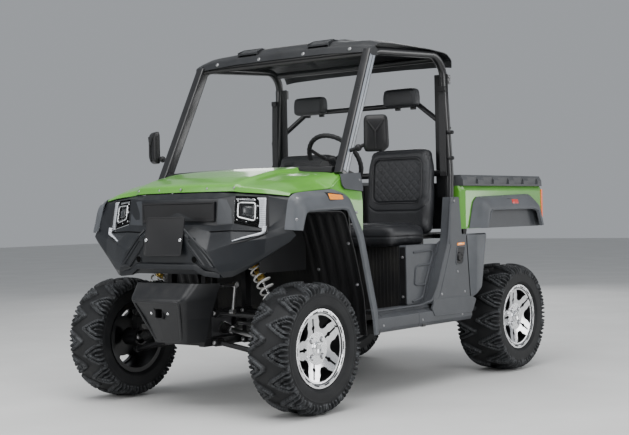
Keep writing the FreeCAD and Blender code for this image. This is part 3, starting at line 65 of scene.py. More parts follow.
class Wire:
    """One output in a material's tree. Sums, differences and products add Math nodes, and node() adds any
    other node."""

    def __init__(self, tree, socket):
        self.tree = tree
        self.socket = socket

    def node(self, kind, settings, inputs, output=0):
        """New node of a kind: its settings are set first, then the values or links of its sockets."""
        new = self.tree.nodes.new(kind)
        for name, value in settings.items():
            setattr(new, name, value)
        for name, value in inputs.items():
            if isinstance(value, Wire):
                self.tree.links.new(value.socket, new.inputs[name])
            else:
                new.inputs[name].default_value = value
        return Wire(self.tree, new.outputs[output])

    def math(self, operation, *values):
        """Math node of an operation on this output and the values."""
        inputs = {0: self}
        for place, value in enumerate(values):
            inputs[place + 1] = value
        return self.node("ShaderNodeMath", {"operation": operation}, inputs)

    def __add__(self, other):
        return self.math("ADD", other)

    __radd__ = __add__

    def __mul__(self, other):
        return self.math("MULTIPLY", other)

    __rmul__ = __mul__

    def __sub__(self, other):
        return self.math("SUBTRACT", other)

    def __rsub__(self, other):
        return self.node("ShaderNodeMath", {"operation": "SUBTRACT"}, {0: other, 1: self})

    def step(self, low, high):
        """0 below low, 1 above high, smooth between."""
        return self.node("ShaderNodeMapRange", {"interpolation_type": "SMOOTHSTEP"},
                         {"Value": self, "From Min": low, "From Max": high})

    def between(self, low, high, soft):
        """1 from low to high, 0 outside, with each edge a soft width wide."""
        return self.step(low, low + soft) * (1.0 - self.step(high, high + soft))

    def noise(self, scale, detail=3.0, roughness=0.55):
        """Cloudy noise at these coordinates, from 0 to 1."""
        return self.node("ShaderNodeTexNoise", {}, {"Vector": self, "Scale": scale, "Detail": detail,
                                                    "Roughness": roughness})

    def stretch(self, x, y, z):
        """These coordinates, each multiplied by its own factor."""
        return self.node("ShaderNodeVectorMath", {"operation": "MULTIPLY"}, {0: self, 1: (x, y, z)})

    def blend(self, low, high):
        """Colour low where this output is 0, and high where it is 1."""
        return self.node("ShaderNodeMix", {"data_type": "RGBA"}, {0: self, 6: low, 7: high}, 2)

    def axis(self, name):
        """One component of a vector."""
        return self.node("ShaderNodeSeparateXYZ", {}, {0: self}, "XYZ".index(name))

    def bump(self, distance, strength=1.0):
        """Normal from this output as a height, in metres."""
        return self.node("ShaderNodeBump", {}, {"Height": self, "Distance": distance, "Strength": strength})


def finish(name, **constants):
    """New material. Gives it, its shader, and the object's own coordinates in metres."""
    made = bpy.data.materials.new(name)
    made.use_nodes = True
    shader = made.node_tree.nodes["Principled BSDF"]
    for socket, value in constants.items():
        shader.inputs[socket.replace("_", " ")].default_value = value
    start = made.node_tree.nodes.new("ShaderNodeTexCoord")
    return made, shader, Wire(made.node_tree, start.outputs["Object"])


def drive(shader, socket, wire):
    """Links an expression to one of the shader's sockets."""
    wire.tree.links.new(wire.socket, shader.inputs[socket])


def shade(colour, share):
    """The same colour, lighter or darker, with full alpha."""
    return (min(1, colour[0] * share), min(1, colour[1] * share), min(1, colour[2] * share), 1)


def settled_dust(place, colour, amount):
    """Colour with a pale dust laid on what faces up: the upward share of the normal times a cloudy noise."""
    facing = place.node("ShaderNodeNewGeometry", {}, {}, 1).axis("Z")
    cover = facing.step(0.2, 1.0) * place.noise(20.0, 6.0).step(0.3, 0.8) * amount
    return cover.node("ShaderNodeMix", {"data_type": "RGBA"},
                      {0: cover, 6: colour, 7: (0.42, 0.4, 0.36, 1)}, 2)


def glossy(name, colour):
    """Glossy coloured panel under a clear coat, with a faint wave in the skin and a little dust on top."""
    made, shader, place = finish(name, Coat_Weight=0.8, Coat_Roughness=0.11, Roughness=0.36)
    cloud = place.noise(4.0, 3.0)
    tone = cloud.step(0.3, 0.7).blend(shade(colour, 0.94), shade(colour, 1.06))
    drive(shader, "Base Color", settled_dust(place, tone, 0.05))
    drive(shader, "Normal", place.noise(60.0, 2.0).bump(0.00008))
    return made


def rounded(count, bend):
    """Weights that carry a broken line through its corners. Each corner gives way to a parabola that starts
    bend of a run before it and ends as far after it: (1-s)^2 before + 2s(1-s) corner + s^2 after. Gives the
    weights, one row for each sample, and where each sample lies, in runs from the start."""
    bends = np.array(np.broadcast_to(bend, count), float)
    bends[[0, -1]] = 0
    unit = np.eye(count)
    rows, places = [], []
    for k in range(count):
        b = bends[k]
        if b == 0:
            rows.append(unit[k:k + 1])
            places.append([float(k)])
        else:
            s = np.linspace(0, 1, 7)[:, None]
            before = b * unit[k - 1] + (1 - b) * unit[k]
            after = b * unit[k + 1] + (1 - b) * unit[k]
            rows.append((1 - s) ** 2 * before + 2 * s * (1 - s) * unit[k] + s ** 2 * after)
            places.append((k - b + 2 * b * s[:, 0]).tolist())
        if k < count - 1:
            low, high = b + 0.04, 1 - bends[k + 1] - 0.04
            t = np.array([low, (low + high) / 2, high])[:, None]
            rows.append((1 - t) * unit[k] + t * unit[k + 1])
            places.append((k + t[:, 0]).tolist())
    return np.vstack(rows), np.concatenate(places)


PANEL_THICK = 0.004


def moulding(points, bend_down, bend_across, thick=PANEL_THICK, skip=()):
    """Sheet moulding: outer skin = W_down . points . W_across, where the W are rounded() weights, and a back
    skin one thickness behind it along the normal. points are rows of (x, y, z) in millimetres. Cells in skip
    are left open. Gives vertices in metres and faces."""
    points = np.array(points, float) * 0.001
    down, v = rounded(points.shape[0], bend_down)
    across, u = rounded(points.shape[1], bend_across)
    outer = np.einsum("ij,jkc,lk->ilc", down, points, across)
    normal = np.cross(np.gradient(outer, axis=1), np.gradient(outer, axis=0))
    normal /= np.linalg.norm(normal, axis=2, keepdims=True) + 1e-12
    inner = outer - normal * thick
    rows, columns = outer.shape[:2]
    keep = np.ones((rows - 1, columns - 1), bool)
    middle_v = np.floor((v[:-1] + v[1:]) / 2)
    middle_u = np.floor((u[:-1] + u[1:]) / 2)
    for i, j in skip:
        keep &= ~((middle_v == i)[:, None] & (middle_u == j)[None, :])
    r, c = np.nonzero(keep)
    a = r * columns + c
    cells = np.stack([a, a + 1, a + columns + 1, a + columns], 1)
    half = rows * columns
    edges = np.stack([cells, np.roll(cells, -1, 1)], 2).reshape(-1, 2)
    present = set(map(tuple, edges.tolist()))
    border = np.array([e for e in edges.tolist() if (e[1], e[0]) not in present])
    walls = np.stack([border[:, 1], border[:, 0], border[:, 0] + half, border[:, 1] + half], 1)
    faces = np.vstack([cells, cells[:, ::-1] + half, walls])
    vertices = np.vstack([outer.reshape(-1, 3), inner.reshape(-1, 3)])
    return vertices, faces[:, ::-1]


def across_width(rows):
    """Rows of points from the centre line outwards, completed with their mirror images at -x."""
    return [[(-x, y, z) for x, y, z in row[:0:-1]] + row for row in rows]


def piece(name, vertices, faces, material, *nodes, body="chassis", crease=40, marks=None):
    """Puts vertices and faces into an object that rides on a body and takes the place of the named CAD nodes.
    Edges sharper than crease degrees stay sharp. The faces are turned outwards. marks is the name of an
    attribute and its value at each vertex."""
    mesh = bpy.data.meshes.new(name)
    mesh.from_pydata(np.asarray(vertices).tolist(), [], [list(map(int, f)) for f in faces])
    if marks:
        mesh.attributes.new(marks[0], "FLOAT", "POINT").data.foreach_set("value", marks[1])
    tidy = bpy.data.objects.new(name, mesh)
    bpy.context.scene.collection.objects.link(tidy)
    work = bmesh.new()
    work.from_mesh(mesh)
    bmesh.ops.remove_doubles(work, verts=work.verts, dist=0.00002)
    loose = [v for v in work.verts if not v.link_faces]
    bmesh.ops.delete(work, geom=loose, context="VERTS")
    bmesh.ops.recalc_face_normals(work, faces=work.faces)
    work.to_mesh(mesh)
    work.free()
    mesh.polygons.foreach_set("use_smooth", np.ones(len(mesh.polygons), bool))
    mesh.set_sharp_from_angle(angle=math.radians(crease))
    mesh.materials.append(material)
    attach(tidy, body)
    if nodes:
        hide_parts(*nodes)
    return tidy


GREEN = (0.095, 0.32, 0.03)
green_gloss = glossy("green_panel", GREEN)
# each station: centre, edge of the raised middle, foot of its side, shoulder, outer edge
hood_rows = [
    [(0, -668, 1244), (372, -668, 1240), (388, -668, 1216), (600, -672, 1204), (662, -676, 1188)],
    [(0, -880, 1226), (362, -880, 1220), (386, -882, 1198), (570, -876, 1180), (668, -800, 1118)],
    [(0, -1060, 1190), (350, -1050, 1184), (380, -1048, 1166), (556, -1022, 1150), (664, -1000, 1104)],
    [(0, -1188, 1152), (338, -1158, 1148), (372, -1146, 1136), (540, -1122, 1118), (648, -1092, 1094)],
    [(0, -1200, 1116), (338, -1168, 1114), (372, -1156, 1108), (538, -1138, 1096), (648, -1106, 1082)],
]
vertices, faces = moulding(across_width(hood_rows), [0, 0.15, 0.15, 0.25, 0],
                           [0, 0.35, 0.3, 0.2, 0.5, 0.2, 0.3, 0.35, 0])
piece("hood_skin", vertices, faces, green_gloss, "hood", crease=32)


def full_turn(count):
    """Angles of count even places round a full turn."""
    return np.linspace(0, 2 * np.pi, count + 1)[:-1]


def tube_quads(rings, size, wrap=False):
    """Quads that join each ring of size points to the next, and the last to the first where it wraps."""
    i, j = np.meshgrid(np.arange(rings if wrap else rings - 1), np.arange(size), indexing="ij")
    k, n = (i + 1) % rings, (j + 1) % size
    return np.stack([i * size + j, i * size + n, k * size + n, k * size + j], 2).reshape(-1, 4)


def bolt_heads(name, spots, radius, height, material, body="chassis"):
    """Domed bolt heads: a low profile (radius r, height h) turned about each spot's own normal. spots are
    rows of place and normal, in metres."""
    profile = np.array([(1.0, -0.5), (1.0, 0.55), (0.86, 0.85), (0.5, 1.0), (0.42, 0.7), (0.0, 0.7)])
    turn = full_turn(12)
    places = np.array(spots, float)
    centre, normal = places[:, :3], places[:, 3:]
    normal /= np.linalg.norm(normal, axis=1, keepdims=True)
    aside = np.cross(normal, [0.31, 0.17, 0.93])
    aside /= np.linalg.norm(aside, axis=1, keepdims=True)
    other = np.cross(normal, aside)
    ring = aside[:, None] * np.cos(turn)[:, None] + other[:, None] * np.sin(turn)[:, None]
    vertices = (centre[:, None, None] + ring[:, None] * (profile[:, 0] * radius)[:, None, None]
                + normal[:, None, None] * (profile[:, 1] * height)[:, None, None])
    count, m = len(profile), len(turn)
    cells = (tube_quads(count, m)[None] + (np.arange(len(centre)) * count * m)[:, None, None]).reshape(-1, 4)
    return piece(name, vertices.reshape(-1, 3), cells, material, body=body, crease=50)


def metal(name, colour, roughness, marks=0.0001):
    """Bare metal with fine machining marks and a patchy sheen."""
    made, shader, place = finish(name, Metallic=1.0)
    cloud = place.noise(30.0, 4.0)
    drive(shader, "Base Color", cloud.step(0.3, 0.75).blend(shade(colour, 0.85), shade(colour, 1.05)))
    drive(shader, "Roughness", cloud * 0.2 + (roughness - 0.1))
    drive(shader, "Normal", place.noise(600.0, 2.0).bump(marks))
    return made


bolt_steel = metal("bolt_steel", (0.35, 0.35, 0.36), 0.42)
lip_bolts = [(x, -1.1965 + 0.095 * abs(x), 1.131, 0.09 * x, -1.0, 0.3)
             for x in (-0.34, -0.17, 0.0, 0.17, 0.34)]
bolt_heads("hood_bolts", lip_bolts, 0.0065, 0.004, bolt_steel)


# Cowl panels
# Glossy green panels between the hood and the door opening, with a grey cover plate at the foot of each front
# pillar. They are clipped to the flares, and the cover plate is screwed on.

def moulded(name, colour, roughness, grain=0.00025, dust=0.035):
    """Grained plastic: cloudy tone, fine leather-like grain, scuffs, and a little dust on what faces up."""
    made, shader, place = finish(name, Specular_IOR_Level=0.34)
    cloud = place.noise(7.0, 4.0)
    scuff = place.stretch(1.0, 1.0, 6.0).noise(38.0, 5.0).step(0.62, 0.72)
    tone = cloud.step(0.25, 0.75).blend(shade(colour, 0.86), shade(colour, 1.14))
    drive(shader, "Base Color", settled_dust(place, tone, dust))
    drive(shader, "Roughness", cloud * 0.16 + scuff * 0.05 + (roughness - 0.08))
    drive(shader, "Normal", place.noise(900.0, 2.0).bump(grain))
    return made


def both_sides(vertices, faces):
    """A left piece together with its mirror image at -x, wound so that both face outwards."""
    other = np.array(vertices) * (-1, 1, 1)
    return np.vstack([vertices, other]), list(faces) + [np.array(f)[::-1] + len(vertices) for f in faces]


def pair(name, left, material, *nodes, **settings):
    """A left piece and its mirror image as one object. The settings are those of piece()."""
    return piece(name, *both_sides(*left), material, *nodes, **settings)


def mirrored(places, normal):
    """Spots of bolts on both sides: places on the left that share one normal, and their mirror images."""
    left = np.hstack([np.array(places, float), np.tile(normal, (len(places), 1))])
    return np.vstack([left * (-1, 1, 1, -1, 1, 1), left])


grey_plastic = moulded("grey_plastic", (0.062, 0.066, 0.073), 0.46)
cowl_rows = [
    [(656, -712, 1186), (672, -560, 1200)],
    [(659, -768, 1150), (681, -564, 1158)],
    [(663, -812, 1110), (690, -568, 1118)],
    [(694, -686, 1080), (700, -572, 1040)],
    [(700, -620, 950), (700, -576, 900)],
]
pair("cowl_skins", moulding(cowl_rows, 0.3, 0.0), green_gloss, "cowl_sides", crease=32)
cover_rows = [
    [(668, -716, 1194), (676, -556, 1202)],
    [(682, -722, 1136), (694, -560, 1122)],
    [(686, -706, 1118), (697, -566, 1104)],
]
pair("pillar_covers", moulding(cover_rows, 0.3, 0.0, thick=0.006), grey_plastic, crease=32)
cover_screws = mirrored([(0.678, -0.70, 1.164), (0.6875, -0.575, 1.164), (0.694, -0.60, 1.12)], (1, 0, 0.2))
bolt_heads("cover_screws", cover_screws, 0.007, 0.003, bolt_steel)


# Fascia
# Dark grey moulding across the front: recessed middle, light shelf, V-shaped bumper bar and an opening for
# each lamp. It is one grained plastic moulding clipped under the hood, with two struts and a blank plate.

def cloudy(name, scale, low, high, **constants):
    """Material whose colour drifts between two tones in clouds."""
    made, shader, place = finish(name, **constants)
    drive(shader, "Base Color", place.noise(scale).blend(low, high))
    return made


dark_plastic = moulded("dark_plastic", (0.010, 0.0115, 0.014), 0.36)
black_plastic = moulded("black_plastic", (0.006, 0.006, 0.007), 0.46, 0.00025, 0.015)
# each row: centre, plate edge, bar ridge, inner lamp edge, outer lamp edge, edge at the wheel arch
fascia_rows = [
    [(0, -1192, 1108), (134, -1188, 1108), (262, -1180, 1106), (356, -1164, 1100), (536, -1134, 1086),
     (648, -1104, 1074)],
    [(0, -1216, 1080), (134, -1214, 1080), (268, -1206, 1078), (374, -1190, 1090), (542, -1142, 1082),
     (654, -1112, 1060)],
    [(0, -1222, 948), (134, -1220, 948), (266, -1212, 944), (374, -1208, 952), (552, -1166, 920),
     (660, -1140, 1000)],
    [(0, -1244, 932), (120, -1242, 932), (246, -1234, 912), (366, -1224, 916), (556, -1176, 908),
     (664, -1156, 935)],
    [(0, -1316, 904), (138, -1316, 902), (284, -1314, 820), (408, -1266, 856), (566, -1192, 876),
     (700, -1146, 912)],
    [(0, -1312, 800), (200, -1310, 796), (330, -1310, 748), (430, -1262, 762), (560, -1200, 800),
     (716, -1142, 892)],
    [(0, -1308, 752), (206, -1306, 748), (352, -1302, 716), (420, -1268, 722), (540, -1206, 776),
     (690, -1150, 868)],
    [(0, -1288, 704), (220, -1286, 704), (372, -1282, 690), (404, -1262, 694), (500, -1214, 746),
     (640, -1166, 838)],
]
LAMP_CELLS = ((1, 8), (1, 1))
piece("fascia_skin", *moulding(across_width(fascia_rows), 0.05, 0.04, skip=LAMP_CELLS), dark_plastic,
      "front_fascia", crease=16)


def loop_weights(count, bend, samples=5):
    """Weights that carry a closed broken line round with its corners as parabolas, as rounded() does."""
    unit = np.eye(count)
    s = np.linspace(0, 1, samples)[:, None]
    rows = [(1 - s) ** 2 * (bend * unit[k - 1] + (1 - bend) * unit[k]) + 2 * s * (1 - s) * unit[k]
            + s ** 2 * (bend * unit[(k + 1) % count] + (1 - bend) * unit[k]) for k in range(count)]
    return np.vstack(rows)


def capped_tube(points, wrap=False):
    """Vertices and faces of a solid through rings of points: quads join each ring to the next, and flat caps
    close the ends unless it wraps back to the first ring."""
    count, size = points.shape[:2]
    caps = [] if wrap else [np.arange(size)[::-1], np.arange(size) + (count - 1) * size]
    return points.reshape(-1, 3), list(tube_quads(count, size, wrap)) + caps


def loft(rings, bend, samples=5, wrap=False):
    """Solid through rings of the same number of corners, in millimetres, each rounded by loop_weights()."""
    rings = np.array(rings, float) * 0.001
    return capped_tube(np.einsum("ij,rjc->ric", loop_weights(rings.shape[1], bend, samples), rings), wrap)


def block(x0, x1, z0, z1, y0, y1, bend):
    """Block between two places along the vehicle, with its four long edges rounded, in millimetres."""
    return loft([[(x0, y, z0), (x1, y, z0), (x1, y, z1), (x0, y, z1)] for y in (y0, y1)], bend)


def sweep(path, profile, up=(0, 0, 1), closed=False):
    """Profile carried along a path. At each point of the path the profile's first coordinate runs along
    tangent x up and its second along the direction square to both. Both are in metres."""
    path = np.array(path, float)
    profile = np.array(profile, float)
    if closed:
        tangent = np.roll(path, -1, 0) - np.roll(path, 1, 0)
    else:
        tangent = np.gradient(path, axis=0)
    tangent /= np.linalg.norm(tangent, axis=1, keepdims=True)
    aside = np.cross(tangent, np.array(up, float))
    aside /= np.linalg.norm(aside, axis=1, keepdims=True)
    over = np.cross(aside, tangent)
    rings = path[:, None] + aside[:, None] * profile[None, :, :1] + over[:, None] * profile[None, :, 1:2]
    return capped_tube(rings, closed)


def circle(radius, count=12, flat=1.0):
    """Round profile, squeezed to flat times its width in its second coordinate."""
    turn = full_turn(count)
    return np.stack([radius * np.cos(turn), radius * flat * np.sin(turn)], 1)


def curve_through(corners, bend, closed=False):
    """Path through a broken line in metres, with its corners rounded by the weights of rounded()."""
    corners = np.array(corners, float)
    if closed:
        return loop_weights(len(corners), bend) @ corners
    return rounded(len(corners), bend)[0] @ corners


def soft_profile(corners, bend, samples=4):
    """Profile through corners in metres, rounded by loop_weights()."""
    return loop_weights(len(corners), bend, samples) @ np.array(corners)


def round_bar(corners, bend, radius, sides=12, flat=1.0, up=(0, 0, 1), closed=False):
    """Round bar along a broken line in metres whose corners are rounded, squeezed to flat times its width."""
    return sweep(curve_through(corners, bend, closed), circle(radius, sides, flat), up, closed)


def joined(parts):
    """Several pieces of vertices and faces as one."""
    vertices, faces, start = [], [], 0
    for points, cells in parts:
        vertices.append(np.asarray(points))
        faces += [np.array(f) + start for f in cells]
        start += len(points)
    return np.vstack(vertices), faces


def inset(outline, distance):
    """Outline moved inwards by a distance: each corner goes along the bisector of its two edges, in the plane
    of the first two coordinates. The outline runs counter-clockwise."""
    outline = np.array(outline, float)
    before = outline - np.roll(outline, 1, 0)
    after = np.roll(outline, -1, 0) - outline
    before /= np.linalg.norm(before, axis=1, keepdims=True)
    after /= np.linalg.norm(after, axis=1, keepdims=True)
    normal_before = np.stack([-before[:, 1], before[:, 0]], 1)
    normal_after = np.stack([-after[:, 1], after[:, 0]], 1)
    way = normal_before + normal_after
    return outline + distance * way / (1 + (normal_before * normal_after).sum(1, keepdims=True))


def relief(outline, steps, place, bend):
    """Plate with stepped relief. Each step is how far the outline is inset and how high that ring lies, and
    place turns rows of (across, up, height) into (x, y, z). Everything is in millimetres."""
    rings = [place(np.column_stack([inset(outline, distance), np.full(len(outline), float(height))]))
             for distance, height in steps]
    return loft(rings, bend)


def facing_front(y):
    """Places (across, up, height) on a plane at y, with the height towards the front."""
    return lambda p: np.column_stack([p[:, 0], y - p[:, 2], p[:, 1]])


strut_outline = [(152, 850), (262, 736), (334, 736), (192, 886), (148, 888)]
strut = relief(strut_outline, [(0, -16), (0, 2), (5, 7), (14, 7), (18, 1)], facing_front(-1316), 0.05)
bar_path = curve_through([(0.140, -1.322, 0.928), (0.180, -1.328, 0.897), (0.268, -1.318, 0.817),
                          (0.322, -1.311, 0.760), (0.366, -1.286, 0.694)], 0.12)
bar_profile = soft_profile([(-0.007, -0.004), (0.007, -0.004), (0.005, 0.004), (-0.005, 0.004)], 0.2)
bar_edge = sweep(bar_path, bar_profile, up=(0, -1, 0))
pair("fascia_struts", joined([strut, bar_edge]), dark_plastic, crease=30)
low_path = curve_through([(-0.352, -1.288, 0.704), (-0.262, -1.302, 0.712), (-0.205, -1.314, 0.744),
                          (0.205, -1.314, 0.744), (0.262, -1.302, 0.712), (0.352, -1.288, 0.704)], 0.06)
low_profile = soft_profile([(-0.010, -0.018), (0.010, -0.018), (0.010, 0.008), (-0.006, 0.020)], 0.12)
low_bar = sweep(low_path, low_profile)
piece("fascia_low_bar", *low_bar, dark_plastic, crease=30)


def beside_grille(p):
    """Places (across, up, height) on the twisted facet between the grille and the lamp."""
    run, rise = p[:, 0] - 266, p[:, 1] - 948
    return np.column_stack([p[:, 0], -1212 + run * 0.037 + rise * (0.045 + run * 0.0009) - p[:, 2], p[:, 1]])


facet_outline = [(264, 948), (366, 952), (371, 1084), (272, 1078)]
# The facets are a lighter grey than the fascia: partly their own finish, partly a painted highlight.
facet_grey_and_highlight = moulded("facet_grey_and_highlight", (0.04, 0.044, 0.05), 0.4)
pair("grille_facets", relief(facet_outline, [(0, -6), (0, 3), (2, 4.5), (8, 5)], beside_grille, 0.04),
     facet_grey_and_highlight, crease=20)


def leaning(p):
    """Places (across, up, height) on the blank plate's plane, which leans back towards its top."""
    return np.column_stack([p[:, 0], -1344 + (p[:, 1] - 796) * 0.18 - p[:, 2], p[:, 1]])


plate_outline = [(-134, 796), (134, 796), (134, 992), (-134, 992)]
piece("blank_plate", *relief(plate_outline, [(0, -3), (-1, 0), (1, 1.5), (6, 1.5), (8, 0.5)], leaning, 0.06),
      black_plastic, crease=20)
plate_posts = [block(x - 14, x + 14, 820, 872, -1331, -1296, 0.1) for x in (-90, 90)]
piece("plate_posts", *joined(plate_posts), black_plastic, crease=32)
chrome = metal("bright_chrome", (0.86, 0.87, 0.88), 0.14, 0.00002)
bolt_heads("plate_bolts", mirrored([(0.121, -1.3315, 0.875)], (0, -1, 0.18)), 0.010, 0.007, chrome)
# Deep black: the lamp housings' own black, and painted shade in the bumper holes, the roof scoops' backs and
# the dark lines along gaps.
black_and_painted_shade = cloudy("deep_black_and_painted_shade", 40.0, (0.002, 0.002, 0.002, 1), (0.005, 0.005, 0.005, 1),
                    Roughness=0.9, Specular_IOR_Level=0.05)
turn = full_turn(24)
eyelet_ring = 0.019 * np.stack([np.cos(turn), 0 * turn, np.sin(turn)], 1)
eyelets = [sweep(eyelet_ring + (s * 0.198, -1.3135, 0.777), circle(0.0025, 8), up=(0, 1, 0), closed=True)
           for s in (-1, 1)]
piece("bumper_eyelets", *joined(eyelets), dark_plastic)
# Near-black discs in the eyelets stand in for the holes' depth: painted shade.
hole_shade_discs = mirrored([(0.198, -1.3125, 0.777)], (0, -1, 0.03))
bolt_heads("bumper_hole_shade_discs", hole_shade_discs, 0.019, 0.002, black_and_painted_shade)
panel_outline = [(-255, 962), (255, 962), (258, 1066), (-258, 1066)]
grille_panel = relief(panel_outline, [(0, -6), (0, 1), (3, 3), (9, 3), (12, 0)], facing_front(-1223), 0.04)
piece("grille_panel", *grille_panel, black_plastic, crease=20)
shadow_gap = round_bar([(0.236, -1.2395, 0.9135), (0.366, -1.2285, 0.918), (0.548, -1.1815, 0.9135)],
                       0.1, 0.0035, 8, 0.7)
pair("shadow_gaps", shadow_gap, black_and_painted_shade, crease=60)


# Headlamps
# Sealed units in the fascia's openings: black housing, square chrome ring round the lens, and a white light
# guide that runs down the outer side and turns in along the foot. Clear polycarbonate closes each unit.

white_guide, guide_shader, guide_place = finish("white_light_guide", Coat_Weight=1.0, Coat_Roughness=0.03,
                                                 Roughness=0.3)
ribs = guide_place.axis("Z") * 620.0
guide_tone = ribs.math("SINE").step(-0.6, 0.9).blend((0.5, 0.52, 0.57, 1), (0.74, 0.76, 0.8, 1))
drive(guide_shader, "Base Color", guide_tone)
clear_cover = cloudy("clear_cover", 9.0, (0.02, 0.022, 0.024, 1), (0.04, 0.042, 0.045, 1),
                     Roughness=0.03, IOR=1.45, Alpha=0.08)
LAMP_FACE = np.array([(376, -1192, 1087), (377, -1209, 956), (549, -1168, 924), (540, -1145, 1079)], float)
LAMP_AHEAD = np.array([-0.32, -0.947, 0.0])


def on_lamp(places):
    """Points in metres on the lamp's face. Each row of places is share across, share down and height in
    mm."""
    places = np.array(places, float)
    u, v, h = places[:, :1], places[:, 1:2], places[:, 2:3]
    top_line = LAMP_FACE[0] * (1 - u) + LAMP_FACE[3] * u
    low_line = LAMP_FACE[1] * (1 - u) + LAMP_FACE[2] * u
    return (top_line * (1 - v) + low_line * v + LAMP_AHEAD * h) * 0.001


def lamp_block(corners, heights, bend=0.15, grow=0.0):
    """Solid on the lamp's face through rings of the same corners. Each row of heights is (height, scale)."""
    corners = np.array(corners, float)
    centre = corners.mean(0)
    rings = [on_lamp(np.column_stack([centre + (corners - centre) * scale,
                                      np.full(len(corners), height)])) * 1000
             for height, scale in heights]
    return loft(rings, bend)


whole_face = [(0.01, 0.02), (0.01, 0.98), (0.99, 0.98), (0.99, 0.02)]
housing = lamp_block(whole_face, [(-48, 0.9), (-2, 1.0), (0, 0.97), (0, 0.9), (-12, 0.86), (-14, 0.8)], 0.06)
square = [(0.13, 0.22), (0.13, 0.75), (0.68, 0.80), (0.68, 0.20)]
ring_loop = loop_weights(4, 0.16, 6) @ on_lamp([(u, v, 7.0) for u, v in square])
ring = sweep(ring_loop, circle(0.0042, 10), up=LAMP_AHEAD, closed=True)
bezel = lamp_block(square, [(-10, 1.0), (5, 1.04), (5, 0.9), (-6, 0.72)], 0.16)
reflector = lamp_block(square, [(-9, 0.86), (-4, 0.84), (-4, 0.7), (-8, 0.5), (-10, 0.3)], 0.3)
lens = lamp_block(square, [(-6, 0.66), (0, 0.64), (6, 0.52), (9, 0.32), (10, 0.12)], 0.3)
guide_corners = [(0.995, 0.02), (0.72, 0.02), (0.79, 0.10), (0.83, 0.80), (0.80, 0.985),
                 (0.90, 0.995), (1.0, 0.94)]
guide = lamp_block(guide_corners, [(-10, 1.0), (5, 1.0), (8, 0.96)], 0.05)
top_bar = lamp_block([(0.04, 0.06), (0.04, 0.12), (0.62, 0.13), (0.62, 0.06)],
                     [(-6, 1.0), (4, 1.0), (6, 0.9)], 0.1)
foot_path = curve_through([(0.5480, -1.181, 0.9380), (0.5480, -1.188, 0.9040), (0.4650, -1.2330, 0.8855),
                           (0.4080, -1.2640, 0.8680)], 0.3)
foot_share = np.linspace(1.5, 0.42, len(foot_path))[:, None]
foot_guide = sweep(foot_path, circle(0.0085, 10, 0.75))
foot_points = foot_path.repeat(10, 0)
foot_guide = (foot_points + (foot_guide[0] - foot_points) * foot_share.repeat(10, 0), foot_guide[1])
surround = round_bar([(0.541, -1.142, 1.090), (0.556, -1.168, 0.950), (0.560, -1.180, 0.902),
                      (0.470, -1.236, 0.868), (0.398, -1.268, 0.850)], 0.15, 0.008, 8, 0.6)
pair("lamp_surrounds", surround, black_plastic, crease=60)
pair("lamp_housings", housing, black_and_painted_shade, "headlamps")
pair("lamp_bezels", bezel, black_plastic)
pair("lamp_rings", joined([ring, top_bar]), chrome, crease=60)
dark_chrome = metal("dark_chrome", (0.10, 0.105, 0.11), 0.16, 0.00002)
pair("lamp_reflectors", reflector, dark_chrome, crease=60)
lamp_glass = glossy("lamp_lens", (0.012, 0.014, 0.016))
pair("lamp_lenses", lens, lamp_glass, crease=60)
pair("light_guides", joined([guide, foot_guide]), white_guide)
ring_screws = on_lamp([(0.08, 0.16, 1.5), (0.08, 0.5, 1.5), (0.08, 0.86, 1.5), (0.38, 0.88, 1.5),
                       (0.72, 0.3, 1.5), (0.72, 0.7, 1.5)])
bolt_heads("ring_screws", mirrored(ring_screws, LAMP_AHEAD), 0.0042, 0.003, chrome)
cover_sheet = lamp_block(whole_face, [(8, 0.99), (11, 0.98), (11.5, 0.9)], 0.08)
pair("lamp_covers", cover_sheet, clear_cover, crease=60)


# Nose guard
# Satin black guard below the fascia with wide rounded top edges, a raised rim round its front face and a
# square receiver tube behind it. It is moulded 4 mm thick and bolted to the frame's front brackets.

guard_black = moulded("guard_black", (0.013, 0.0135, 0.015), 0.36, 0.00012, 0.04)
guard_rows = [
    [(0, -1330, 655), (28, -1330, 655), (200, -1326, 655), (262, -1196, 655)],
    [(0, -1400, 575), (28, -1400, 575), (183, -1394, 575), (240, -1210, 575)],
    [(0, -1377, 534), (28, -1377, 534), (168, -1373, 534), (218, -1205, 534)],
    [(0, -1350, 478), (28, -1350, 478), (142, -1346, 478), (188, -1200, 478)],
    [(0, -1302, 352), (28, -1302, 352), (104, -1298, 352), (150, -1192, 352)],
]
RECEIVER_CELLS = ((2, 2), (2, 3))
vertices, faces = moulding(across_width(guard_rows), [0, 0.22, 0.02, 0.02, 0],
                           [0, 0.16, 0.01, 0.01, 0.01, 0.16, 0], skip=RECEIVER_CELLS)
piece("guard_skin", vertices, faces, guard_black, "nose_guard", crease=24)
rim_corners = [(-0.160, -1.3945, 0.566), (0.160, -1.3945, 0.566), (0.090, -1.3045, 0.362),
               (-0.090, -1.3045, 0.362)]
guard_rim = round_bar(rim_corners, 0.1, 0.008, 10, 0.7, up=(0, -1, -0.45), closed=True)
piece("guard_rim", *guard_rim, guard_black, crease=60)
frame_black = moulded("frame_black", (0.012, 0.012, 0.013), 0.34, 0.00006, 0.03)
tube_ring = np.array([(-28, -28), (28, -28), (28, 28), (-28, 28)], float)


def receiver_rings(steps):
    """Square rings about the receiver's own axis from (half width, y) in millimetres."""
    return [np.column_stack([tube_ring[:, 0] * half / 28, np.full(4, float(y)),
                             tube_ring[:, 1] * half / 28 + 506])
            for half, y in steps]


receiver = receiver_rings([(27, -1342), (27.5, -1372), (26, -1375), (23, -1374), (22, -1330), (22, -1240),
                           (27, -1240)])
piece("receiver_tube", *loft(receiver, 0.12, wrap=True), frame_black)
bolt_heads("guard_bolts", mirrored([(0.058, -1.366, 0.507)], (0, -1, -0.42)), 0.0085, 0.006, chrome)


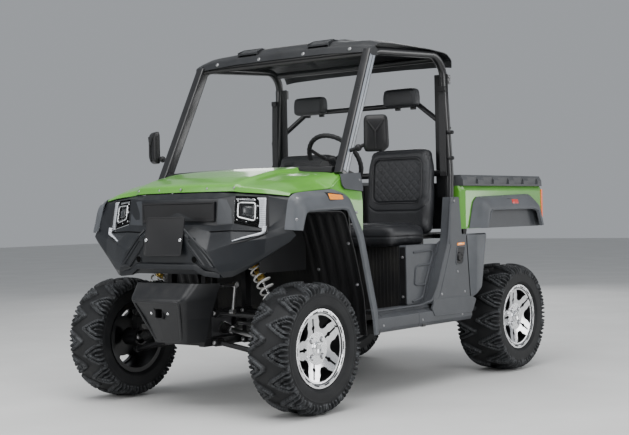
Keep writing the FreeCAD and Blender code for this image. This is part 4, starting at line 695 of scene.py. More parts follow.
# Flares
# Grey wheel-arch mouldings of the front wheels, grained, with a hard crease and a lip turned in. Steel
# bolts hold them to the body, and each carries an amber marker lamp.

flare_grey = moulded("flare_grey", (0.082, 0.088, 0.097), 0.44)
# each row: edge on the body, crease, outer lip, turned-in lip
flare_rows = [
    [(664, -1166, 920), (716, -1152, 915), (746, -1130, 913), (736, -1124, 913)],
    [(656, -1124, 1070), (704, -1126, 1052), (746, -1097, 1004), (736, -1090, 1000)],
    [(666, -1086, 1096), (712, -1080, 1076), (746, -1062, 1014), (736, -1058, 1006)],
    [(672, -790, 1114), (718, -790, 1092), (746, -790, 1022), (736, -792, 1014)],
    [(690, -690, 1084), (726, -712, 1068), (746, -742, 1014), (736, -748, 1008)],
    [(700, -575, 896), (732, -618, 880), (746, -660, 862), (736, -666, 860)],
    [(700, -456, 474), (732, -500, 452), (746, -544, 440), (736, -550, 440)],
    [(700, -454, 354), (728, -490, 354), (742, -528, 354), (732, -534, 354)],
]
flare = moulding([row[::-1] for row in flare_rows], [0, 0.28, 0.3, 0.06, 0.3, 0.12, 0.1, 0],
                 [0, 0.3, 0.22, 0])
pair("front_flare_skins", flare, flare_grey, "front_flares", crease=28)
flare_bolts = [(s * x, y, z, s * nx, ny, nz) for s in (-1, 1) for x, y, z, nx, ny, nz in (
    (0.696, -1.103, 1.0705, 0.5, -0.35, 0.8), (0.7175, -1.137, 0.966, 0.75, -0.66, 0.15),
    (0.7195, -0.650, 0.9955, 0.8, 0.3, 0.4), (0.7215, -0.560, 0.680, 0.75, 0.6, 0.1))]
bolt_heads("flare_bolts", flare_bolts, 0.0085, 0.005, bolt_steel)


def lit_lens(name, axis, lines, tones, glows, strength):
    """Coloured lens with fine moulded lines across an axis that glows faintly: lit from behind on a lamp, a
    painted glint on a reflector. tones and glows are its colours and those of its glow, each in the grooves
    and on the lines."""
    made, shader, place = finish(name, Coat_Weight=1.0, Coat_Roughness=0.03, Roughness=0.25)
    line = (place.axis(axis) * lines).math("SINE").step(-0.5, 0.9)
    drive(shader, "Base Color", line.blend(*tones))
    drive(shader, "Emission Color", line.blend(*glows))
    shader.inputs["Emission Strength"].default_value = strength
    return made


def on_flare(p):
    """Places (along, up, height) on the slope between the flare's crease and its lip."""
    return np.column_stack([746 - (p[:, 1] - 1022) * 0.4 + p[:, 2], p[:, 0], p[:, 1]])


amber = lit_lens("amber_lens", "Y", 900.0, ((0.75, 0.2, 0.008, 1), (1.0, 0.36, 0.02, 1)),
                 ((0.6, 0.14, 0.0, 1), (1.0, 0.3, 0.01, 1)), 0.25)
marker_outline = [(-886, 1062), (-778, 1062), (-778, 1086), (-886, 1094)]
pair("amber_markers", relief(marker_outline, [(0, -12), (0, 3), (2, 6), (6, 7)], on_flare, 0.12),
     amber)
marker_frame = relief([(-896, 1056), (-768, 1056), (-768, 1090), (-896, 1100)],
                      [(0, -14), (0, 1), (2, 2.5), (4, 2.5), (5, 1)], on_flare, 0.08)
pair("marker_frames", marker_frame, black_plastic)


# Arch liners
# Black liners inside the front wheel arches, pressed with upright ribs so that the thin sheet stays stiff.
# They are screwed to the flares and the cage's legs.

def ribbed_liner(line, x0, x1, ribs, height, thick):
    """Sheet along a line of (y, z): point = line(v) + normal(v) * height * ridge(u), where ridge is a cosine
    raised to a flat-topped wave across the width. Its sizes are in millimetres."""
    weights, _ = rounded(len(line), 0.18)
    path = weights @ np.array(line, float)
    run = np.gradient(path, axis=0)
    run /= np.linalg.norm(run, axis=1, keepdims=True)
    normal = np.stack([run[:, 1], -run[:, 0]], 1)
    u = np.linspace(0, 1, ribs * 10 + 1)
    ridge = np.clip(0.5 + 1.6 * np.cos(2 * np.pi * ribs * u), 0, 1)
    x = x0 + (x1 - x0) * u
    side = path[:, None] + normal[:, None] * (height * ridge)[None, :, None]
    outer = np.stack([np.broadcast_to(x, side.shape[:2]), side[..., 0], side[..., 1]], 2) * 0.001
    back = side - normal[:, None] * thick
    inner = np.stack([np.broadcast_to(x, side.shape[:2]), back[..., 0], back[..., 1]], 2) * 0.001
    rows, columns = outer.shape[:2]
    i, j = np.meshgrid(np.arange(rows - 1), np.arange(columns - 1), indexing="ij")
    a = (i * columns + j).ravel()
    cells = np.stack([a, a + 1, a + columns + 1, a + columns], 1)
    half = rows * columns
    ring = np.concatenate([np.arange(columns - 1), columns - 1 + columns * np.arange(rows - 1),
                           (rows - 1) * columns + np.arange(columns - 1, 0, -1),
                           columns * np.arange(rows - 1, 0, -1)])
    after = np.roll(ring, -1)
    walls = np.stack([after, ring, ring + half, after + half], 1)
    vertices = np.vstack([outer.reshape(-1, 3), inner.reshape(-1, 3)])
    return vertices, np.vstack([cells, cells[:, ::-1] + half, walls])


def slab(outline, x0, x1, bend):
    """Slab between two places across the vehicle, with its outline in (y, z) rounded, in millimetres."""
    return loft([[(x, y, z) for y, z in outline] for x in (x0, x1)], bend)


liner_black = moulded("liner_black", (0.011, 0.011, 0.012), 0.5, 0.0003, 0.05)
liner_line = [(-1076, 1000), (-1040, 1006), (-766, 1006), (-680, 797), (-608, 558), (-590, 356)]
liner_wall = slab([(-1076, 700), (-700, 700), (-700, 850), (-764, 1004), (-1040, 1004), (-1076, 998)],
                  416, 421, 0.03)
pair("liners", joined([ribbed_liner(liner_line, 420, 729, 5, 5, 4), liner_wall]), liner_black,
     "arch_liners")
liner_screws = [(0.70, -0.6995, 0.838), (0.70, -0.630, 0.622), (0.47, -0.655, 0.70), (0.47, -0.614, 0.564)]
bolt_heads("liner_screws", mirrored(liner_screws, (0, -0.93, 0.36)), 0.009, 0.005, bolt_steel)


# Roof
# Black roof with a visor face, two scoops in it and a raised middle between two creases. It is moulded in
# grained plastic about 4 mm thick, and four bolts along the visor hold it to the cage.

roof_stations = [
    (452, 1850, 1848, 1846, 1842, 1834, 628),
    (440, 1900, 1898, 1896, 1890, 1876, 636),
    (368, 1952, 1950, 1936, 1930, 1908, 646),
    (180, 1972, 1970, 1948, 1940, 1916, 648),
    (-180, 1972, 1970, 1948, 1940, 1914, 648),
    (-304, 1952, 1950, 1938, 1930, 1908, 646),
    (-350, 1914, 1912, 1908, 1902, 1886, 642),
    (-372, 1872, 1870, 1868, 1858, 1850, 636),
]
roof_rows = [[(0, y, z0), (190, y, z0 - 1), (330, y, z1), (372, y, z2), (560, y, z3), (x4, y, z4)]
             for y, z0, z1, z2, z3, z4, x4 in roof_stations]
roof_black = moulded("roof_black", (0.016, 0.017, 0.019), 0.42, 0.0003, 0.03)
SCOOP_CELLS = ((5, 3), (5, 6))
vertices, faces = moulding(across_width(roof_rows), [0, 0.3, 0.3, 0.2, 0.2, 0.3, 0.25, 0],
                           [0, 0.3, 0.3, 0.05, 0.03, 0, 0.03, 0.05, 0.3, 0.3, 0], skip=SCOOP_CELLS)
piece("roof_skin", vertices, faces, roof_black, "roof", crease=24)
hood_top = [[(186, -353, 1925), (334, -353, 1925), (334, -350, 1935), (186, -350, 1935)],
            [(184, -306, 1949), (336, -306, 1949), (336, -306, 1959), (184, -306, 1959)],
            [(184, -262, 1952), (336, -262, 1952), (336, -262, 1961), (184, -262, 1961)]]
scoop_floor = [[(186, -352, 1906), (334, -352, 1906), (334, -350, 1914), (186, -350, 1914)],
               [(190, -296, 1936), (330, -296, 1936), (330, -296, 1943), (190, -296, 1943)]]
cheeks = [[[(x, -353, 1908), (x + 6, -353, 1908), (x + 6, -352, 1942), (x, -352, 1942)],
           [(x, -300, 1940), (x + 6, -300, 1940), (x + 6, -300, 1962), (x, -300, 1962)]] for x in (184, 330)]
scoops = joined([loft(hood_top, 0.1), loft(scoop_floor, 0.1)] + [loft(cheek, 0.1) for cheek in cheeks])
pair("roof_scoops", scoops, roof_black)
# The scoops' backs are deep black blocks: painted shade in the openings.
pair("scoop_back_shades", block(188, 332, 1934, 1962, -302, -298, 0.05), black_and_painted_shade)
roof_bolts = [(x, -0.3645, 1.889 - 0.010 * abs(x), 0.0, -0.9, 0.45) for x in (-0.488, -0.163, 0.163, 0.488)]
bolt_heads("roof_bolts", roof_bolts, 0.0115, 0.006, bolt_steel)


def facing_side(x):
    """Places (along, up, height) on a plane at x, with the height outwards. Both are in millimetres."""
    return lambda p: np.column_stack([x + p[:, 2], p[:, 0], p[:, 1]])


corner_block = relief([(-388, 1836), (-330, 1836), (-318, 1876), (-352, 1892), (-384, 1872)],
                      [(0, -36), (0, 0), (3, 3), (10, 3)], facing_side(641), 0.15)
pair("roof_corners", corner_block, roof_black)


# Cage
# Black powder-coated steel tube: bent side hoops and straight cross tubes, welded into one. Its front legs
# wear flat-sided extruded covers that hold the windscreen's edges.

def coated(name, colour, roughness, coat=0.0):
    """Coated metal: even colour with a faint orange-peel skin and small worn spots."""
    made, shader, place = finish(name, Coat_Weight=coat, Coat_Roughness=0.12)
    cloud = place.noise(12.0, 4.0)
    worn = place.noise(70.0, 6.0, 0.7).step(0.7, 0.76) * 0.5
    tone = cloud.step(0.3, 0.7).blend(shade(colour, 0.85), shade(colour, 1.12))
    drive(shader, "Base Color", worn.node("ShaderNodeMix", {"data_type": "RGBA"},
                                          {0: worn, 6: tone, 7: shade(colour, 1.5)}, 2))
    drive(shader, "Roughness", cloud * 0.14 + worn * 0.2 + (roughness - 0.07))
    drive(shader, "Normal", place.noise(350.0, 2.0).bump(0.00012))
    return made


def dress(material, *nodes):
    """Gives CAD pieces their material."""
    for node in nodes:
        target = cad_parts[node]
        target.data.materials.clear()
        target.data.materials.append(material)


cage_black = coated("cage_black", (0.011, 0.011, 0.012), 0.32, 0.2)
dress(cage_black, "roll_cage")
pillar_profile = soft_profile([(-0.0265, -0.032), (0.0265, -0.032), (0.0265, 0.030), (-0.0265, 0.030)],
                              0.16, 5)
pillar_black = coated("pillar_black", (0.010, 0.010, 0.011), 0.3, 0.3)
pillar_line = curve_through([(0.641, -0.676, 1.192), (0.6405, -0.668, 1.208), (0.6125, -0.355, 1.862)], 0.02)
pair("pillar_covers_front", sweep(pillar_line, pillar_profile, up=(0, -0.9, 0.43)), pillar_black)
strip_silver = coated("strip_silver", (0.24, 0.265, 0.30), 0.34, 0.4)
strip_profile = soft_profile([(-0.0015, -0.021), (0.0015, -0.021), (0.0015, 0.021), (-0.0015, 0.021)], 0.2)
above_cowl = pillar_line[6:]
pillar_strip = sweep(above_cowl + (0.0278, 0, 0), strip_profile, up=(0, -0.9, 0.43))
pair("pillar_strips", pillar_strip, strip_silver)
shroud = loft([[(562, 366, z), (652, 366, z), (652, 373, z), (562, 373, z)] for z in (1074, 1790)], 0.15)
pair("pillar_shrouds", shroud, black_plastic)
pillar_grooves = sweep(above_cowl + (0.0296, 0, 0), circle(0.0016, 6), up=(0, -0.9, 0.43))
pair("pillar_grooves", pillar_grooves, black_plastic, crease=60)
bracket_bolts = mirrored([(0.6235, 0.43, z) for z in (1.75, 1.78)], (1, 0, 0))
bolt_heads("cage_bolts", bracket_bolts, 0.008, 0.006, bolt_steel)
clamp_rings = []
for clamp_z, clamp_y in ((1.45, 0.3655), (1.30, 0.3650)):
    turn = full_turn(32)
    loop = np.array([0.655, clamp_y, clamp_z]) + 0.0255 * np.stack([np.cos(turn), np.sin(turn), 0 * turn], 1)
    clamp_rings.append(sweep(loop, circle(0.0045, 8, 2.2), closed=True))
pair("cage_clamps", joined(clamp_rings), black_plastic, crease=60)


# Windscreen
# Flat clear polycarbonate sheet between the front pillars. A black rubber seal runs round its edge, and a
# black strip closes the gap between its foot and the hood.

screen_look = cloudy("clear_screen", 3.0, (0.02, 0.024, 0.024, 1), (0.04, 0.044, 0.044, 1),
                     Roughness=0.015, IOR=1.3, Alpha=0.05)
dress(screen_look, "windscreen")
seal_rubber = moulded("seal_rubber", (0.012, 0.012, 0.012), 0.55, 0.0002, 0.02)
SCREEN_FOOT, SCREEN_HEAD = np.array([0.638, -0.664, 1.230]), np.array([0.611, -0.369, 1.846])
seal_corners = [SCREEN_FOOT * (-1, 1, 1), SCREEN_FOOT, SCREEN_HEAD, SCREEN_HEAD * (-1, 1, 1)]
seal_corners = [corner - np.array([np.sign(corner[0]) * 0.010, 0, 0]) for corner in seal_corners]
screen_seal = round_bar(seal_corners, 0.03, 0.011, 10, 0.6, up=(0, -0.9, 0.43), closed=True)
piece("screen_seal", *screen_seal, seal_rubber, crease=60)
strip_corners = [(-0.600, -0.676, 1.214), (-0.3, -0.679, 1.222), (0.3, -0.679, 1.222), (0.600, -0.676, 1.214)]
piece("cowl_strip", *round_bar(strip_corners, 0.3, 0.024), black_plastic, crease=60)


# Mirrors
# Black door mirrors: a tapered shell with a V-shaped ridge on its back, clamped to the front pillar on a ball
# joint. The glass lies in the open side.

TURN = math.radians(28)
MIRROR = np.array([806.0, -588.0, 1402.0])


def on_mirror(points):
    """Points of the mirror's own frame (across, depth, up), turned about Z and moved to its place, in mm."""
    points = np.array(points, float)
    x = points[:, 0] * math.cos(TURN) - points[:, 1] * math.sin(TURN)
    y = points[:, 0] * math.sin(TURN) + points[:, 1] * math.cos(TURN)
    return np.column_stack([x, y, points[:, 2]]) + MIRROR


mirror_outline = np.array([(-62, 95), (62, 95), (68, -70), (40, -95), (-54, -95), (-64, -76)], float)[::-1]
mirror_rings = [on_mirror(np.column_stack([mirror_outline[:, 0] * scale, np.full(6, float(depth)),
                                           mirror_outline[:, 1] * scale]))
                for scale, depth in ((0.86, 13), (0.93, 13), (0.97, 18), (1.0, 16), (1.0, 6), (0.96, -4),
                                     (0.86, -14), (0.72, -19), (0.4, -21))]
pair("mirror_shells", loft(mirror_rings, 0.2), black_plastic, "mirrors", crease=50)
mirror_glass = cloudy("mirror_glass", 5.0, (0.78, 0.8, 0.82, 1), (0.86, 0.88, 0.9, 1),
                      Metallic=1.0, Roughness=0.03)
glass_rings = [on_mirror(np.column_stack([mirror_outline[:, 0] * scale, np.full(6, depth),
                                          mirror_outline[:, 1] * scale])) for scale, depth in
               ((0.85, 10.0), (0.85, 14.0), (0.83, 14.5))]
pair("mirror_glasses", loft(glass_rings, 0.2), mirror_glass, crease=30)
ridge_line = on_mirror([(-44, -17, 66), (2, -23, 6), (46, -17, 66)]) * 0.001
ridge_stem = on_mirror([(2, -23, 8), (2, -22, -30), (3, -18, -80)]) * 0.001
ridges = joined([round_bar(ridge_line, 0.1, 0.006, 8, up=(0.47, -0.88, 0)),
                 round_bar(ridge_stem, 0.2, 0.006, 8, up=(0.47, -0.88, 0))])
mirror_arm = round_bar([(0.660, -0.618, 1.316), (0.700, -0.614, 1.327), (0.735, -0.608, 1.339),
                        (0.778, -0.598, 1.356)], 0.3, 0.010)
turn = np.linspace(0, np.pi, 13)
BALL, BALL_SIDES = 0.019, 16
ball_line = np.array([0.712, -0.612, 1.330]) + np.outer(-BALL * np.cos(turn), (0.94, 0.03, 0.34))
ball = sweep(ball_line, circle(1.0, BALL_SIDES))
ball_middle = ball_line.repeat(BALL_SIDES, 0)
ball_radius = (BALL * np.sin(turn) + 1e-5).repeat(BALL_SIDES)[:, None]
ball = (ball_middle + (ball[0] - ball_middle) * ball_radius, ball[1])
pair("mirror_arms", joined([ridges, mirror_arm, ball]), black_plastic, crease=50)


# Frame and drive
# Welded steel frame, coated black, with the engine and the gearboxes on it. Arms, knuckles and towers are
# bolted through rubber bushes, and the bolt heads show at every pivot.

dress(frame_black, "chassis_frame", "front_arms", "rear_arms", "knuckle_left", "knuckle_right")
cast_grey = metal("cast_housing", (0.2, 0.2, 0.21), 0.5, 0.0003)
dress(cast_grey, "engine")
zinc = metal("zinc_steel", (0.5, 0.5, 0.5), 0.35)
dress(zinc, "steering_rack")


def turned(start, end, rows, count=20):
    """Solid turned about the line from start to end. Each row is (distance along it, radius), in metres."""
    start, end = np.array(start, float), np.array(end, float)
    axis = (end - start) / np.linalg.norm(end - start)
    side = np.cross(axis, (0.13, 0.91, 0.39))
    side /= np.linalg.norm(side)
    other = np.cross(axis, side)
    rows = np.array(rows, float)
    turn = full_turn(count)
    ring = side * np.cos(turn)[:, None] + other * np.sin(turn)[:, None]
    return capped_tube(start + axis * rows[:, None, :1] + ring[None] * rows[:, None, 1:2])


pivot_ends = [(s * 0.163, y + side * 0.110 + face * 0.0225 + face * 0.009, z, 0, face, 0)
              for s in (-1, 1) for y in (-1.0, 1.0) for z in (0.345, 0.495) for side in (-1, 1)
              for face in (-1, 1)]
bolt_heads("arm_bolts", pivot_ends, 0.011, 0.008, zinc)
link = turned((0.253, -1.098, 0.500), (0.273, -1.098, 0.641),
              [(0.0, 0.0105), (0.010, 0.0115), (0.02, 0.0075), (0.124, 0.0075), (0.130, 0.012),
               (0.142, 0.012)], 14)
link_rows = [(0, 0.010), (0, 0.014), (0.026, 0.014), (0.026, 0.010)]
link_eyes = [turned((x - 0.013, -1.098, z), (x + 0.013, -1.098, z), link_rows, 16)
             for x, z in ((0.253, 0.503), (0.273, 0.641))]
pair("stabiliser_links", joined([link] + link_eyes), zinc, crease=50)


# Half shafts
# Steel half shafts with pleated rubber boots over the joints at both ends, held by clamp bands, and the plain
# shaft along the vehicle from the engine to the two gearboxes.

def pleated(length, radius0, radius1, pleats, depth):
    """Rows of (distance, radius) of a boot: radius = straight taper + depth * cos of the pleats' phase."""
    t = np.linspace(0, 1, pleats * 8 + 1)
    radius = radius0 + (radius1 - radius0) * t + depth * np.cos(2 * np.pi * pleats * t)
    return np.column_stack([length * t, radius])


WHEEL_HEIGHT = 0.330
JOINT_BALL = 0.027
shaft_parts, boot_parts = [], []
# axle y, outer joint x, gearbox face x
for axle_y, joint_x, face_x in ((-1.0, 0.550, 0.0925), (1.0, 0.470, 0.0965)):
    inner_end, outer_end = np.array([face_x, axle_y, 0.410]), np.array([joint_x, axle_y, WHEEL_HEIGHT])
    along = (outer_end - inner_end) / np.linalg.norm(outer_end - inner_end)
    span = np.linalg.norm(outer_end - inner_end)
    shaft_parts.append(turned(inner_end, outer_end,
                              [(0.001, 0.0), (0.001, 0.013), (span, 0.013), (span, 0.0)], 16))
    joint_rows = [(JOINT_BALL * (1 - math.cos(a)), JOINT_BALL * math.sin(a))
                  for a in np.linspace(0.02, math.pi - 0.02, 9)]
    shaft_parts.append(turned(outer_end - along * JOINT_BALL, outer_end, joint_rows, 16))
    boot_parts.append(turned(inner_end, outer_end, pleated(0.062, 0.0275, 0.018, 5, 0.003), 20))
    boot_parts.append(turned(outer_end - along * 0.126, outer_end,
                             pleated(0.060, 0.018, 0.0295, 5, 0.003), 20))
    for place, radius in ((0.003, 0.031), (0.060, 0.0195)):
        band = [(0, radius), (0, radius + 0.001), (0.006, radius + 0.001), (0.006, radius)]
        shaft_parts.append(turned(inner_end + along * place, outer_end, band, 20))
along_shafts = []
for y0, y1 in ((-0.929, 0.479), (0.781, 0.889)):
    ends = [(0, 0.010), (0.002, 0.016), (y1 - y0 - 0.002, 0.016), (y1 - y0, 0.010)]
    along_shafts.append(turned((0, y0, 0.380), (0, y1, 0.380), ends, 16))
piece("drive_shafts", *joined([both_sides(*joined(shaft_parts)), joined(along_shafts)]), zinc,
      "half_shafts", crease=50)
boot_rubber = moulded("boot_rubber", (0.014, 0.014, 0.014), 0.55, 0.0002, 0.03)
pair("shaft_boots", joined(boot_parts), boot_rubber, crease=60)


# Shocks and springs
# Gold anodised dampers with a threaded body and a bright rod, inside white coil springs wound from round
# wire. Each is pinned between the frame's tower and an upper arm, and two dished seats hold its spring.

shock_gold = metal("gold_anodised", (0.83, 0.56, 0.13), 0.3)
rod_chrome = metal("rod_chrome", (0.8, 0.8, 0.8), 0.12, 0.00003)
spring_white = coated("spring_white", (0.72, 0.72, 0.71), 0.3, 0.6)
bodies, stems, coils = [], [], []
UPPER_Z, RISE, PIVOT = 0.495, -0.025, 0.163
# the upper seat's place below the upper eye, the lower one's above the lower eye, and how thick a seat is
TOP_SEAT, LOW_SEAT, SEAT_THICK = 0.026, 0.034, 0.006
# place across and along the vehicle of the lower eye, and place across of the arm's outer end
for foot_x, axle_y, end_x in ((0.466, -1.0, 0.550), (0.420, 1.0, 0.470)):
    head = np.array([0.290, axle_y, 0.7997])
    foot = np.array([foot_x, axle_y, UPPER_Z + RISE * (foot_x - PIVOT) / (end_x - PIVOT) + 0.030])
    along = (foot - head) / np.linalg.norm(foot - head)
    span = np.linalg.norm(foot - head)
    threads = [(0.036 + 0.0032 * n + d, 0.0205 - r) for n in range(18)
               for d, r in ((0.0, 0.0), (0.0016, 0.0012))]
    cap_rows = [(0.016, 0.0), (0.016, 0.017), (0.022, 0.0195), (0.035, 0.0195)]
    tube_rows = [(0.096, 0.0205), (0.150, 0.0205), (0.152, 0.0215), (0.158, 0.0215),
                 (0.160, 0.012), (0.160, 0.0)]
    bodies.append(turned(head, foot, cap_rows + threads + tube_rows, 24))
    seat_rows = [(0, 0.012), (0, 0.043), (0.001, 0.046), (0.005, 0.046), (0.006, 0.043), (0.006, 0.012)]
    for place in (TOP_SEAT, span - LOW_SEAT):
        bodies.append(turned(head + along * place, foot, seat_rows, 28))
    rod = span - 0.168
    stems.append(turned(head + along * 0.150, foot, [(0, 0.0), (0, 0.0075), (rod, 0.0075), (rod, 0.0)], 16))
    eye_rows = [(0, 0.007), (0, 0.014), (0.002, 0.0155), (0.033, 0.0155), (0.035, 0.014), (0.035, 0.007)]
    for end in (head, foot):
        bodies.append(turned(end - (0, 0.0175, 0), end, eye_rows, 20))
    side = np.cross(along, (0, 1, 0))
    side /= np.linalg.norm(side)
    other = np.cross(along, side)
    turns, wire, reach = 8, 0.0050, 0.038
    t = np.linspace(0, 1, turns * 22 + 1)
    clear = span - LOW_SEAT - TOP_SEAT - SEAT_THICK - 2 * wire
    rise = clear * np.clip((t * turns - 0.6) / (turns - 1.2), 0, 1) * 0.94 + clear * 0.06 * t
    angle = 2 * np.pi * turns * t
    around = side * np.cos(angle)[:, None] + other * np.sin(angle)[:, None]
    helix = head + along * (TOP_SEAT + SEAT_THICK + wire) + along * rise[:, None] + reach * around
    coils.append(sweep(helix, circle(wire, 10), up=along))
pair("damper_bodies", joined(bodies), shock_gold, "shocks")
pair("damper_rods", joined(stems), rod_chrome)
pair("coil_springs", joined(coils), spring_white, "springs", crease=60)


# Tyres
# Mud tyres: black rubber with nested V-shaped lugs on each half, the halves half a pitch apart, shoulder
# blocks between them, and a smooth side wall with raised lines. The lugs' edges are scuffed lighter.

def segment_distance(s, a, start, end):
    """Distance of each point (s, a) to the line from start to end."""
    start, end = np.array(start, float), np.array(end, float)
    run = end - start
    t = np.clip(((s - start[0]) * run[0] + (a - start[1]) * run[1]) / (run @ run), 0, 1)
    return np.hypot(s - start[0] - t * run[0], a - start[1] - t * run[1])


PITCHES = 14
PITCH = 2 * np.pi * WHEEL_HEIGHT / PITCHES
SAMPLES = 24
LUG_HEIGHT = 0.018
# half width of the bar, then its corners: share of the half tread, share of the pitch
LUG_BARS = (
    (0.0092, ((1.15, -0.37), (0.86, -0.355), (0.05, 0.02), (0.88, 0.395), (1.15, 0.41))),
    (0.0080, ((1.04, -0.185), (0.84, -0.175), (0.38, 0.02), (0.84, 0.215), (1.04, 0.225))),
    (0.0080, ((0.80, 0.02), (1.15, 0.02))),
    (0.0090, ((1.02, 0.515), (1.16, 0.515))),
)


def tread_height(s, a, half):
    """Share of the lug's height at each point, and how near its edge it lies: 1 inside a bar, 0 outside, with
    a smooth flank between, from the distance to the bars' lines. Neighbouring pitches are looked at too."""
    nearest = np.full(s.shape, -1.0)
    for width, corners in LUG_BARS:
        for shift in (-1, 0, 1):
            for (s0, a0), (s1, a1) in zip(corners, corners[1:]):
                start, end = (s0 * half, (a0 + shift) * PITCH), (s1 * half, (a1 + shift) * PITCH)
                nearest = np.maximum(nearest, width - segment_distance(s, a, start, end))
    flank = np.clip((nearest + 0.0014) / 0.0042, 0, 1)
    height = flank * flank * (3 - 2 * flank)
    scuff = np.exp(-((nearest - 0.0022) / 0.0016) ** 2)
    return height, scuff


def tyre_surface(half):
    """Grid of points of a tyre about the X axis at the origin: the carcass line gives (x, radius) at each
    place across, and the lugs add to the radius and, past the shoulder, to the width."""
    line = np.array([(0, 0.312), (half * 0.58, 0.3085), (half * 0.90, 0.298), (half * 0.985, 0.272),
                     (half - 0.0015, 0.240), (half * 0.97, 0.214), (half - 0.0225, 0.1975),
                     (half - 0.0245, 0.1790)])
    smooth = rounded(len(line), [0, 0.4, 0.45, 0.4, 0.45, 0.4, 0.2, 0])[0] @ line
    length = np.concatenate([[0], np.cumsum(np.hypot(*np.diff(smooth, axis=0).T))])
    tread = half * 1.22
    samples = np.concatenate([np.linspace(0, tread, 36), np.linspace(tread, length[-1], 22)[1:]])
    x = np.interp(samples, length, smooth[:, 0])
    r = np.interp(samples, length, smooth[:, 1])
    slope_x, slope_r = np.gradient(x, samples), np.gradient(r, samples)
    angles = full_turn(PITCHES * SAMPLES)
    around = angles * WHEEL_HEIGHT
    fade = np.clip((half * 1.16 - samples) / 0.022, 0, 1) * LUG_HEIGHT
    band = 0.0016 * (np.exp(-((r - 0.262) / 0.0022) ** 2) + np.exp(-((r - 0.217) / 0.0025) ** 2))
    rings, marks = [], []
    for side, offset in ((-1, 0.5), (1, 0.0)):
        place = np.mod(around[:, None] + offset * PITCH + PITCH / 2, PITCH) - PITCH / 2
        height, scuff = tread_height(np.broadcast_to(samples, (len(angles), len(samples))),
                                     np.broadcast_to(place, (len(angles), len(samples))), half)
        lift = height * fade + band
        across = side * (x - slope_r * lift)
        radius = r + slope_x * lift
        rings.append(np.stack([across, radius * np.cos(angles)[:, None],
                               radius * np.sin(angles)[:, None]], 2))
        marks.append(np.clip(scuff * 0.75 + height * 0.30, 0, 1) * (fade > 0.004))
    points = np.concatenate([rings[0][:, :0:-1], rings[1]], 1)
    return points, np.concatenate([marks[0][:, :0:-1], marks[1]], 1)


def rubber(name):
    """Tyre rubber: near black with a matt bloom, lighter on the edges that the scuff attribute marks."""
    made, shader, place = finish(name, Specular_IOR_Level=0.28)
    cloud = place.noise(9.0, 5.0)
    scuff = place.node("ShaderNodeAttribute", {"attribute_name": "scuff"}, {}, 2)
    worn = scuff * place.noise(45.0, 4.0).step(0.3, 0.62) * 0.75
    tone = cloud.step(0.35, 0.8).blend((0.008, 0.0085, 0.0095, 1), (0.019, 0.0195, 0.0205, 1))
    drive(shader, "Base Color", worn.node("ShaderNodeMix", {"data_type": "RGBA"},
                                          {0: worn, 6: tone, 7: (0.115, 0.122, 0.13, 1)}, 2))
    drive(shader, "Roughness", cloud * 0.2 + 0.5)
    drive(shader, "Normal", place.noise(420.0, 3.0).bump(0.00035))
    return made


tyre_rubber = rubber("tyre_rubber")
WHEELS = (("front", -1.0, 0.229, 0.6455), ("rear", 1.0, 0.279, 0.6205))
for axle, axle_y, width, middle in WHEELS:
    grid, scuffs = tyre_surface(width / 2)
    for side, sign in (("left", 1), ("right", -1)):
        points = grid * (sign, 1, 1) + (sign * middle, axle_y, WHEEL_HEIGHT)
        quads = tube_quads(*points.shape[:2], wrap=True)
        piece(f"tyre_skin_{axle}_{side}", points.reshape(-1, 3), quads[:, ::sign], tyre_rubber,
              f"tyre_{axle}_{side}", body=f"wheel_{axle}_{side}", crease=38, marks=("scuff", scuffs.ravel()))


# Rims
# Cast alloy wheels with a bright machined face: black paint in the spokes' slots, round the nuts and in
# dashes on the outer ring, small bolts between the dashes, and a dark barrel.

FACE_INSET, FACE_DEPTH, FACE_RADIUS = 0.0162, 0.027, 0.082
BOLTS, BOLT_RING, NUT_PLACE, VALVE_RING, VALVE_TURN = 14, 0.1835, 0.041, 0.166, 0.63
# radii about the axle of the outer ring's start, its dashes and the spokes' inner ends, and about a nut of
# its painted pocket; SOFT and CRISP are the widths of the paint's edges
OUTER_RING, DASH_BAND, SPOKE_START, POCKET_BAND = 0.1725, (0.1795, 0.1868), 0.0705, (0.0105, 0.0158)
SOFT, CRISP = 0.0007, 0.0006


